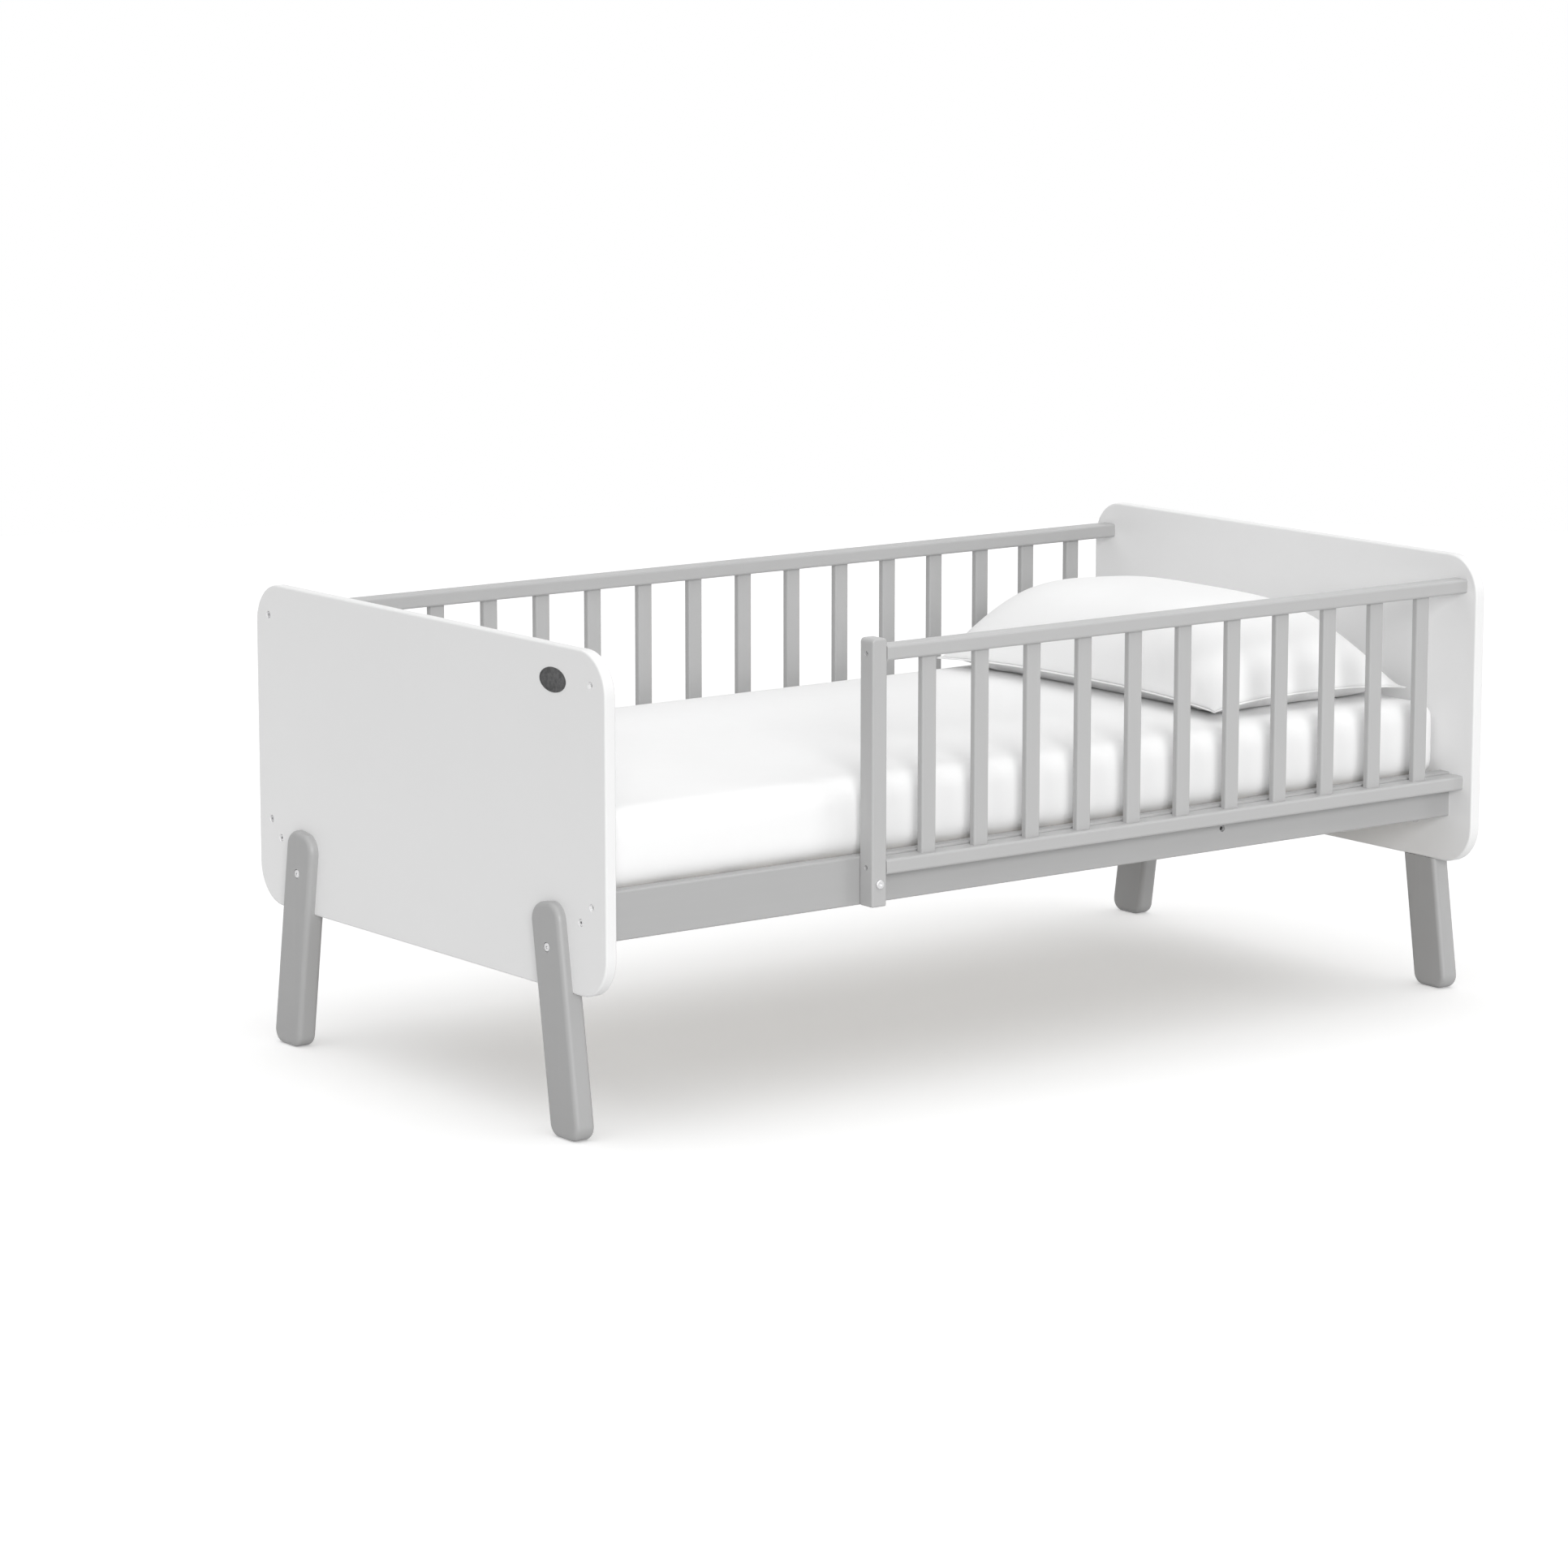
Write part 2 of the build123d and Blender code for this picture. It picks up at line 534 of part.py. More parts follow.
leg_bolt = socket_screw(LEG_BOLT_HEAD_R, LEG_BOLT_HEAD_HEIGHT, M6_R, LEG_BOLT_LENGTH, M6_SOCKET)
leg_bolts = spread(leg_bolt, at_both_ends(LEG_OUTER_X - LEG_BOLT_SEAT, LEG_BOLTS))
save(leg_bolts, "leg_bolts")

with BuildPart() as tee_nut:
    with BuildSketch():
        Circle(TEE_NUT_FLANGE_R)
        Circle(M6_R + THREAD_GAP, mode=Mode.SUBTRACT)
    extrude(amount=TEE_NUT_FLANGE)
    with BuildSketch():
        Circle(TEE_NUT_BARREL_R)
        Circle(M6_R + THREAD_GAP, mode=Mode.SUBTRACT)
    extrude(amount=TEE_NUT_LENGTH)
leg_tee_nuts = spread(tee_nut.part, at_both_ends(PANEL_INNER_X, LEG_BOLTS))
save(leg_tee_nuts, "leg_tee_nuts")

leg_dowel_x = PANEL_OUTER_X - PANEL_DOWEL_DEPTH + LEG_DOWEL_LENGTH / 2
leg_dowels = spread(dowel(LEG_DOWEL_LENGTH), at_both_ends(leg_dowel_x, LEG_DOWELS))
save(leg_dowels, "leg_dowels")

side_rail_bolt = socket_screw(RAIL_BOLT_HEAD_R, RAIL_BOLT_HEAD_HEIGHT, M6_R, RAIL_BOLT_LENGTH, M6_SOCKET)
side_rail_bolts = spread(side_rail_bolt, at_both_ends(PANEL_OUTER_X - RAIL_BOLT_SEAT, SIDE_RAIL_BOLTS))
save(side_rail_bolts, "side_rail_bolts")

with BuildPart() as barrel_nut:
    with BuildSketch():
        Circle(BARREL_NUT_R)
    extrude(amount=BARREL_NUT_LENGTH / 2, both=True)
    with Locations(*places_on(Plane.YZ.offset(BARREL_NUT_R), [(0, 0)])):
        Hole(M6_R + THREAD_GAP)
    with BuildSketch(Plane.XY.offset(BARREL_NUT_LENGTH / 2)):
        Rectangle(2 * BARREL_NUT_R, NUT_SLOT)
    extrude(amount=-NUT_SLOT, mode=Mode.SUBTRACT)
barrel_nut_places = []
for side in SIDES.values():
    nut_plane = facing_side(-side, -SIDE_RAIL_Y)
    barrel_nut_places += places_on(nut_plane, [(end * BARREL_NUT_X, SIDE_RAIL_BOLT_Z) for end in (-1, 1)])
side_rail_barrel_nuts = spread(barrel_nut.part, barrel_nut_places)
save(side_rail_barrel_nuts, "side_rail_barrel_nuts")

rail_dowel_x = PANEL_INNER_X + PANEL_DOWEL_DEPTH - DOWEL_LENGTH / 2
side_rail_dowels = spread(dowel(DOWEL_LENGTH), at_both_ends(rail_dowel_x, SIDE_RAIL_DOWELS))
save(side_rail_dowels, "side_rail_dowels")

guard_screw = socket_screw(
    GUARD_SCREW_HEAD_R, GUARD_SCREW_HEAD_HEIGHT, GUARD_SCREW_R, GUARD_SCREW_LENGTH, M6_SOCKET
)
guard_screw_x = PANEL_OUTER_X - GUARD_SCREW_SEAT
head_end = facing_end(ENDS["head"], guard_screw_x)
foot_end = facing_end(ENDS["foot"], guard_screw_x)
rear_guard_holes = [point for point in GUARD_HOLES if point[0] > 0]
guard_screw_places = places_on(head_end, GUARD_HOLES)
guard_screw_places += places_on(foot_end, [(-y, z) for y, z in rear_guard_holes])
guard_end_screws = spread(guard_screw, guard_screw_places)
save(guard_end_screws, "guard_end_screws")

post_screw_places = places_on(post_foot_face.offset(-POST_SCREW_SEAT), post_screw_points)
guard_post_screws = spread(wood_screw(POST_SCREW_LENGTH), post_screw_places)
save(guard_post_screws, "guard_post_screws")

post_bolt = socket_screw(LEG_BOLT_HEAD_R, LEG_BOLT_HEAD_HEIGHT, M6_R, POST_BOLT_LENGTH, M6_SOCKET)
front_post_bolt = spread(post_bolt, places_on(post_outer_face, [(POST_X, POST_BOLT_Z)]))
save(front_post_bolt, "post_bolt")

with BuildPart() as thread_insert:
    with BuildSketch():
        Circle(INSERT_R)
        Circle(M6_R + THREAD_GAP, mode=Mode.SUBTRACT)
    extrude(amount=-INSERT_LENGTH)
insert_plane = facing_side(SIDES["front"], SIDE_RAIL_OUTER_Y - INSERT_DEPTH)
insert_places = places_on(insert_plane, [(POST_X, POST_BOLT_Z), (-POST_X, POST_BOLT_Z)])
post_thread_inserts = spread(thread_insert.part, insert_places)
save(post_thread_inserts, "post_thread_inserts")

ledger_screw_places = []
for side in SIDES.values():
    ledger_face = facing_side(-side, -LEDGER_Y + LEDGER_WIDTH / 2)
    ledger_screw_places += places_on(ledger_face, [(x, LEDGER_Z) for x in LEDGER_SCREW_XS])
ledger_screws = spread(wood_screw(LEDGER_SCREW_LENGTH), ledger_screw_places)
save(ledger_screws, "ledger_screws")

slat_screws = spread(
    wood_screw(SLAT_SCREW_LENGTH), places_on(Plane.XY.offset(MATTRESS_BOTTOM_Z), slat_screw_places)
)
save(slat_screws, "slat_screws")

# ======================================================================================
# Mattress and pillow
# ======================================================================================

with BuildPart() as mattress:
    with BuildSketch(Plane.XY.offset(MATTRESS_BOTTOM_Z)):
        RectangleRounded(MATTRESS_LENGTH, MATTRESS_WIDTH, MATTRESS_CORNER_R)
    extrude(amount=MATTRESS_THICKNESS)
    fillet(mattress.faces().sort_by(Axis.Z)[-1].edges(), MATTRESS_TOP_R)
    fillet(mattress.faces().sort_by(Axis.Z)[0].edges(), MATTRESS_BOTTOM_R)
save(mattress.part, "mattress")

pillow_bottom_z = MATTRESS_BOTTOM_Z + MATTRESS_THICKNESS
pillow_x = PANEL_INNER_X - PILLOW_HEAD_GAP - PILLOW_WIDTH / 2
pillow_corners = [
    (pillow_x + x * PILLOW_WIDTH / 2, PILLOW_Y + y * PILLOW_LENGTH / 2)
    for x, y in ((-1, -1), (1, -1), (1, 1), (-1, 1))
]
pillow_waists = [
    (pillow_x, PILLOW_Y - PILLOW_LENGTH / 2 + PILLOW_WAIST),
    (pillow_x + PILLOW_WIDTH / 2 - PILLOW_WAIST, PILLOW_Y),
    (pillow_x, PILLOW_Y + PILLOW_LENGTH / 2 - PILLOW_WAIST),
    (pillow_x - PILLOW_WIDTH / 2 + PILLOW_WAIST, PILLOW_Y),
]
with BuildPart() as pillow:
    with BuildSketch(Plane.XY.offset(pillow_bottom_z)) as pillow_plan:
        with BuildLine():
            for corner, waist in enumerate(pillow_waists):
                ThreePointArc(pillow_corners[corner], waist, pillow_corners[(corner + 1) % 4])
        make_face()
        fillet(pillow_plan.vertices(), PILLOW_CORNER_R)
    extrude(amount=PILLOW_THICKNESS)
    for section_plane, width in (
        (Plane(origin=(0, PILLOW_Y, pillow_bottom_z), x_dir=(0, 1, 0), z_dir=(1, 0, 0)), PILLOW_LENGTH),
        (Plane(origin=(pillow_x, 0, pillow_bottom_z), x_dir=(1, 0, 0), z_dir=(0, -1, 0)), PILLOW_WIDTH),
    ):
        half = width / 2
        rim = PILLOW_RIM_HEIGHT
        with BuildSketch(section_plane):
            with BuildLine():
                EllipticalCenterArc((0, rim), half, PILLOW_THICKNESS - rim, start_angle=0, arc_size=180)
                Polyline((-half, rim), (-half + rim, 0), (half - rim, 0), (half, rim))
            make_face()
        extrude(amount=BED_LENGTH, both=True, mode=Mode.INTERSECT)
save(pillow.part, "pillow")
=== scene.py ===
"""Toddler bed: its finishes, and the mattress and pillow that lie in it.

Everything is in metres in the bed's own frame: X runs from the foot to the head, Y from the open
front to the rear guard, and Z up from the floor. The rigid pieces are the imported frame's own, and
each gets its finish here. The two soft pieces are sewn shells that stand for their plain solids.
"""

import json
import logging
import math
from collections.abc import Callable, Iterable
from dataclasses import dataclass, field
from enum import Enum

import bpy
import numpy as np
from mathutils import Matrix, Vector

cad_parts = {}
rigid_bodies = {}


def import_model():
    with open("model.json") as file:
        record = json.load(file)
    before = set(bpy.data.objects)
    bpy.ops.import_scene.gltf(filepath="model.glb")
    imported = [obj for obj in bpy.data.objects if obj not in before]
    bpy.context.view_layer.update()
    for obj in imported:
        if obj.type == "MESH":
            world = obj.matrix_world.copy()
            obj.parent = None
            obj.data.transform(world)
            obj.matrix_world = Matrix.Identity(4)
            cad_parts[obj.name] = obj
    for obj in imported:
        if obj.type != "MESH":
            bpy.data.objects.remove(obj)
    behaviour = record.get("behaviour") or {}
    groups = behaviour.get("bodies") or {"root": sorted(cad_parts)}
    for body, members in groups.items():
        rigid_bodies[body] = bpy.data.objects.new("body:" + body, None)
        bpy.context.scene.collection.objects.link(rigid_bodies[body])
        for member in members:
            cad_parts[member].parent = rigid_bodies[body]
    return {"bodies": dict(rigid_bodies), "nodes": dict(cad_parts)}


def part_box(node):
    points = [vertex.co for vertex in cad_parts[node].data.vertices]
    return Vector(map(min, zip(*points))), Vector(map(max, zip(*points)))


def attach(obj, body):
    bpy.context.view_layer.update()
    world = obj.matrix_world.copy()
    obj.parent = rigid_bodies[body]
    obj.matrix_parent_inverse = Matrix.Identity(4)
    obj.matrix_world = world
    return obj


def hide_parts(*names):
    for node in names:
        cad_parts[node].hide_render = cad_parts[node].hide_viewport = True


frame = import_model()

LOG = logging.getLogger("toddler_bed")

Colour = tuple[float, float, float]
Value = float | int | tuple | bpy.types.NodeSocket


def clear_startup_objects() -> None:
    """Removes what a new file holds that isn't part of the bed: its cube, lamp and camera."""
    kept = set(frame["nodes"].values()) | set(frame["bodies"].values())
    for item in list(bpy.data.objects):
        if item not in kept:
            bpy.data.objects.remove(item)


clear_startup_objects()
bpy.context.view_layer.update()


# ---------------------------------------------------------------------------------------------
# Node graphs


class Grain(Enum):
    """The direction in which a piece's fibres run, as the axis's index."""

    LENGTH = 0
    WIDTH = 1
    HEIGHT = 2


class Graph:
    """A node tree that is being wired: it adds nodes, fills their sockets and links them."""

    def __init__(self, tree: bpy.types.NodeTree) -> None:
        """Args:
        tree: the material's, world's or group's node tree.
        """
        self.tree = tree

    def node(
        self, kind: str, inputs: dict[str | int, Value] | None = None, **settings: object
    ) -> bpy.types.Node:
        """Adds a node.

        Args:
            kind: the node's type name.
            inputs: socket names or places, each with a value or with the socket that feeds it.
            settings: the node's own properties.

        Returns:
            The new node.
        """
        made = self.tree.nodes.new(kind)
        for key, value in settings.items():
            setattr(made, key, value)
        for key, value in (inputs or {}).items():
            self.feed(made.inputs[key], value)
        return made

    def feed(self, socket: bpy.types.NodeSocket, value: Value) -> None:
        """Links another socket into this one, or sets this one's value.

        Args:
            socket: the input to fill.
            value: a socket to link, or a number, colour or vector.
        """
        if isinstance(value, bpy.types.NodeSocket):
            self.tree.links.new(value, socket)
        elif socket.type == "RGBA" and isinstance(value, tuple) and len(value) == 3:
            socket.default_value = (*value, 1.0)
        else:
            socket.default_value = value

    def maths(self, operation: str, *terms: Value) -> bpy.types.NodeSocket:
        """Args:
            operation: the Math node's operation.
            terms: its inputs in order.

        Returns:
            The result.
        """
        return self.node("ShaderNodeMath", dict(enumerate(terms)), operation=operation).outputs[0]

    def total(self, *terms: tuple[Value, float]) -> bpy.types.NodeSocket:
        """Args:
            terms: values, each with its weight.

        Returns:
            Their weighted sum.
        """
        value, weight = terms[0]
        result = self.maths("MULTIPLY", value, weight)
        for value, weight in terms[1:]:
            result = self.maths("MULTIPLY_ADD", value, weight, result)
        return result

    def spread(self, value: Value, start: float, end: float, low: float, high: float) -> bpy.types.NodeSocket:
        """Args:
            value: the value to map, held between start and end.
            start: what becomes low.
            end: what becomes high.
            low: the first result.
            high: the last result.

        Returns:
            The mapped value.
        """
        names = ("Value", "From Min", "From Max", "To Min", "To Max")
        return self.node(
            "ShaderNodeMapRange", dict(zip(names, (value, start, end, low, high)))
        ).outputs["Result"]

    def tint(self, factor: Value, first: Value, second: Value, mode: str = "MIX") -> bpy.types.NodeSocket:
        """Args:
            factor: how much of the second colour shows.
            first: the colour at 0.
            second: the colour at 1.
            mode: how the two are blended.

        Returns:
            The mixed colour.
        """
        inputs = {0: factor, 6: first, 7: second}
        return self.node("ShaderNodeMix", inputs, data_type="RGBA", blend_type=mode).outputs[2]

    def axes(self, vector: Value) -> tuple[bpy.types.NodeSocket, ...]:
        """Args:
            vector: the vector to take apart.

        Returns:
            Its X, Y and Z.
        """
        return tuple(self.node("ShaderNodeSeparateXYZ", {0: vector}).outputs)

    def noise(
        self,
        vector: Value,
        scale: Value,
        detail: float = 2.0,
        roughness: float = 0.5,
        distortion: float = 0.0,
    ) -> bpy.types.NodeSocket:
        """Args:
            vector: where the noise is read.
            scale: its cells in a metre.
            detail: how many finer layers it has.
            roughness: how strong the finer layers are.
            distortion: how far it is stirred.

        Returns:
            The noise, about 0.5.
        """
        inputs = {
            "Vector": vector,
            "Scale": scale,
            "Detail": detail,
            "Roughness": roughness,
            "Distortion": distortion,
        }
        return self.node("ShaderNodeTexNoise", inputs).outputs[0]

    def place(
        self, stretch: tuple[float, float, float] = (1, 1, 1), centre: tuple[float, float, float] = (0, 0, 0)
    ) -> bpy.types.NodeSocket:
        """Args:
            stretch: the scale along each axis.
            centre: what is taken off the point first.

        Returns:
            The piece's own coordinates in metres, moved and stretched.
        """
        coordinates = self.node("ShaderNodeTexCoord").outputs["Object"]
        moved = tuple(-c * s for c, s in zip(centre, stretch))
        return self.node(
            "ShaderNodeMapping", {"Vector": coordinates, "Location": moved, "Scale": stretch}
        ).outputs[0]

    def use(self, group: bpy.types.NodeTree, **inputs: Value) -> bpy.types.Node:
        """Args:
            group: the shared group to place.
            inputs: its inputs, with _ for a space.

        Returns:
            The group's node.
        """
        made = self.tree.nodes.new("ShaderNodeGroup")
        made.node_tree = group
        for key, value in inputs.items():
            self.feed(made.inputs[key.replace("_", " ")], value)
        return made


class Groups:
    """The shader groups that several finishes share. Each is built once, when it is first asked for."""

    _made: dict[str, bpy.types.NodeTree] = {}

    @classmethod
    def _group(
        cls,
        name: str,
        inputs: dict[str, float | None],
        outputs: Iterable[str],
        fill: Callable[[Graph, dict], dict],
    ) -> bpy.types.NodeTree:
        """Args:
            name: the group's name.
            inputs: its inputs, each with its default, or None for a vector.
            outputs: its outputs, all of them values.
            fill: wires the inside, from the input sockets to the output ones.

        Returns:
            The group, built if it wasn't there yet.
        """
        if name not in cls._made:
            tree = bpy.data.node_groups.new(name, "ShaderNodeTree")
            for label, value in inputs.items():
                kind = "NodeSocketVector" if value is None else "NodeSocketFloat"
                socket = tree.interface.new_socket(name=label, in_out="INPUT", socket_type=kind)
                if value is not None:
                    socket.default_value = value
            for label in outputs:
                tree.interface.new_socket(name=label, in_out="OUTPUT", socket_type="NodeSocketFloat")
            graph = Graph(tree)
            given = graph.node("NodeGroupInput")
            result = fill(graph, {label: given.outputs[label] for label in inputs})
            graph.node("NodeGroupOutput", {label: result[label] for label in outputs})
            cls._made[name] = tree
        return cls._made[name]

    @classmethod
    def stipple(cls) -> bpy.types.NodeTree:
        """The fine orange peel that a paint roller leaves, with slow changes of gloss."""

        def fill(graph: Graph, given: dict) -> dict:
            """Wires two sizes of bumps and a slow gloss."""
            fine = graph.noise(given["Vector"], given["Pitch"], 1.5, 0.55)
            broad = graph.noise(given["Vector"], graph.maths("MULTIPLY", given["Pitch"], 0.14), 1.0)
            gloss = graph.noise(given["Vector"], 21.0, 3.0, 0.6)
            return {"Height": graph.total((fine, 0.6), (broad, 0.4)), "Gloss": gloss}

        return cls._group("Roller stipple", {"Vector": None, "Pitch": 800.0}, ("Height", "Gloss"), fill)

    @classmethod
    def fibres(cls) -> bpy.types.NodeTree:
        """Wood fibres: the vector comes in squeezed along the grain."""

        def fill(graph: Graph, given: dict) -> dict:
            """Wires the broad growth bands, the fine fibres and the open pores."""
            bands = graph.noise(given["Vector"], graph.maths("MULTIPLY", given["Pitch"], 0.12), 2.0, 0.5, 0.8)
            rings = graph.maths("PINGPONG", graph.maths("MULTIPLY", bands, given["Bands"]), 1.0)
            fine = graph.noise(given["Vector"], given["Pitch"], 4.0, 0.65)
            pores = graph.spread(
                graph.noise(given["Vector"], graph.maths("MULTIPLY", given["Pitch"], 2.3), 1.0),
                0.56,
                0.72,
                0.0,
                1.0,
            )
            height = graph.total((fine, 0.55), (rings, 0.3), (pores, -0.35))
            return {"Bands": rings, "Fibre": fine, "Pores": pores, "Height": height}

        inputs = {"Vector": None, "Pitch": 420.0, "Bands": 9.0}
        return cls._group("Wood fibres", inputs, ("Bands", "Fibre", "Pores", "Height"), fill)

    @classmethod
    def edges(cls) -> bpy.types.NodeTree:
        """A mask of the rounded edges, lightened by the finishes: partly a thin, rubbed coat and partly a
        painted highlight.
        """

        def fill(graph: Graph, given: dict) -> dict:
            """Compares the rounded normal with the true one and breaks the mask up a little."""
            rounded = graph.node("ShaderNodeBevel", {"Radius": 0.0028}, samples=6).outputs[0]
            true = graph.node("ShaderNodeNewGeometry").outputs["Normal"]
            inputs = {0: rounded, 1: true}
            alike = graph.node("ShaderNodeVectorMath", inputs, operation="DOT_PRODUCT").outputs["Value"]
            bend = graph.spread(alike, 0.995, 0.80, 0.0, 1.0)
            patchiness = graph.spread(graph.noise(given["Vector"], 55.0, 3.0, 0.6), 0.38, 0.62, 0.35, 1.0)
            return {"Mask": graph.maths("MULTIPLY", bend, patchiness)}

        return cls._group("Edge wear and painted highlight mask", {"Vector": None}, ("Mask",), fill)

    @classmethod
    def drift(cls) -> bpy.types.NodeTree:
        """Slow changes of tone over a whole piece."""

        def fill(graph: Graph, given: dict) -> dict:
            """Wires a broad noise over a middling one."""
            broad = graph.noise(given["Vector"], given["Pitch"], 2.0, 0.5)
            middling = graph.noise(given["Vector"], graph.maths("MULTIPLY", given["Pitch"], 6.5), 2.0)
            return {"Tone": graph.spread(graph.total((broad, 0.7), (middling, 0.3)), 0.32, 0.68, 0.0, 1.0)}

        return cls._group("Tone drift", {"Vector": None, "Pitch": 4.0}, ("Tone",), fill)

    @classmethod
    def weave(cls) -> bpy.types.NodeTree:
        """Plain weave: warp and weft pass over each other by turns."""

        def fill(graph: Graph, given: dict) -> dict:
            """Wires both sets of round threads, each high on every other crossing."""
            across, along, _ = graph.axes(given["Vector"])
            stir = graph.total((graph.noise(given["Vector"], 90.0, 2.0), 0.9))
            counts = [graph.maths("MULTIPLY_ADD", axis, given["Threads"], stir) for axis in (across, along)]
            crossing = graph.maths("ADD", *[graph.maths("FLOOR", count) for count in counts])
            over = graph.maths("FLOORED_MODULO", crossing, 2.0)
            threads = [
                graph.maths(
                    "SINE", graph.maths("MULTIPLY", graph.maths("FRACT", count), math.pi)
                ) for count in counts
            ]
            warp = graph.maths("MULTIPLY", threads[0], graph.spread(over, 0.0, 1.0, 0.55, 1.0))
            weft = graph.maths("MULTIPLY", threads[1], graph.spread(over, 0.0, 1.0, 1.0, 0.55))
            slub = graph.noise(given["Vector"], graph.maths("MULTIPLY", given["Threads"], 0.08), 3.0, 0.6)
            return {"Height": graph.maths("MAXIMUM", warp, weft), "Slub": slub}

        return cls._group("Plain weave", {"Vector": None, "Threads": 1400.0}, ("Height", "Slub"), fill)

    @classmethod
    def knit(cls) -> bpy.types.NodeTree:
        """Jersey knit: columns of small V stitches."""

        def fill(graph: Graph, given: dict) -> dict:
            """Wires the columns, then the legs that lean towards each column's middle."""
            across, along, _ = graph.axes(given["Vector"])
            stir = graph.total((graph.noise(given["Vector"], 60.0, 2.0), 0.8))
            columns = graph.maths("MULTIPLY_ADD", across, given["Stitches"], stir)
            side = graph.maths("ABSOLUTE", graph.maths("SUBTRACT", graph.maths("FRACT", columns), 0.5))
            rows = graph.maths("MULTIPLY_ADD", along, graph.maths("MULTIPLY", given["Stitches"], 1.25), stir)
            leaning = graph.maths("MULTIPLY_ADD", side, -1.3, rows)
            loops = graph.maths("ABSOLUTE", graph.maths("SINE", graph.maths("MULTIPLY", leaning, math.pi)))
            legs = graph.maths("SINE", graph.maths("MULTIPLY", side, 2 * math.pi))
            height = graph.maths("MULTIPLY", loops, graph.maths("MAXIMUM", legs, 0.0))
            slub = graph.noise(given["Vector"], graph.maths("MULTIPLY", given["Stitches"], 0.1), 3.0, 0.6)
            return {"Height": height, "Slub": slub}

        return cls._group("Jersey knit", {"Vector": None, "Stitches": 620.0}, ("Height", "Slub"), fill)


# ---------------------------------------------------------------------------------------------
# Finishes


def shaded(colour: Colour, share: float) -> Colour:
    """Returns the colour made lighter or darker by that share."""
    return tuple(min(1.0, c * share) for c in colour)


@dataclass(frozen=True)
class Finish:
    """What every finish has: the record's slot, its colour and its roughness."""

    slot: str
    colour: Colour
    roughness: float

    def begin(self, name: str) -> tuple[bpy.types.Material, Graph, bpy.types.Node]:
        """Args:
            name: the material's name.

        Returns:
            The new material, its graph and its Principled node.
        """
        material = bpy.data.materials.new(name)
        material.use_nodes = True
        material.node_tree.nodes.clear()
        graph = Graph(material.node_tree)
        shader = graph.node(
            "ShaderNodeBsdfPrincipled", {"Base Color": self.colour, "Roughness": self.roughness}
        )
        graph.node("ShaderNodeOutputMaterial", {"Surface": shader.outputs[0]})
        return material, graph, shader

    def relief(
        self,
        graph: Graph,
        shader: bpy.types.Node,
        height: bpy.types.NodeSocket,
        depth: float,
        strength: float = 1.0,
    ) -> None:
        """Gives the surface fine relief.

        Args:
            graph: the material's graph.
            shader: its Principled node.
            height: the pattern, about 0 to 1.
            depth: how far the pattern's 1 stands above its 0, in metres.
            strength: how much of the relief shows.
        """
        bump = graph.node("ShaderNodeBump", {"Strength": strength, "Distance": depth, "Height": height})
        graph.feed(shader.inputs["Normal"], bump.outputs[0])


@dataclass(frozen=True)
class PaintFinish(Finish):
    """Satin paint, rolled on board or on timber whose grain shows faintly through."""

    stipple_pitch: float = 780.0
    stipple_depth: float = 0.00004
    grain_share: float = 0.0
    drift: float = 0.012
    edge_wear_and_highlight_share: float = 1.05

    def material(self, name: str, grain: Grain) -> bpy.types.Material:
        """Args:
            name: the material's name.
            grain: the way the timber's fibres run.

        Returns:
            The paint.
        """
        made, graph, shader = self.begin(name)
        point = graph.place()
        stretch = tuple(0.06 if axis == grain.value else 1.0 for axis in range(3))
        fibres = graph.use(Groups.fibres(), Vector=graph.place(stretch), Pitch=260.0, Bands=5.0)
        stipple = graph.use(Groups.stipple(), Vector=point, Pitch=self.stipple_pitch)
        tone = graph.use(Groups.drift(), Vector=point, Pitch=3.2).outputs["Tone"]
        edge_wear_and_highlight_mask = graph.use(Groups.edges(), Vector=point).outputs["Mask"]
        body = graph.tint(tone, shaded(self.colour, 1 - self.drift), shaded(self.colour, 1 + self.drift))
        streaked = graph.tint(
            graph.maths("MULTIPLY", fibres.outputs["Bands"], self.grain_share),
            body,
            shaded(self.colour, 0.965),
        )
        # Lighter on the rounded edges: partly thin, rubbed paint and partly a painted highlight.
        graph.feed(
            shader.inputs["Base Color"], graph.tint(edge_wear_and_highlight_mask, streaked, shaded(self.colour, self.edge_wear_and_highlight_share))
        )
        gloss = graph.spread(
            stipple.outputs["Gloss"], 0.35, 0.65, self.roughness - 0.035, self.roughness + 0.045
        )
        graph.feed(shader.inputs["Roughness"], graph.maths("MULTIPLY_ADD", edge_wear_and_highlight_mask, -0.05, gloss))
        height = graph.total(
            (stipple.outputs["Height"], 1.0 - self.grain_share), (fibres.outputs["Height"], self.grain_share)
        )
        self.relief(graph, shader, height, self.stipple_depth)
        return made


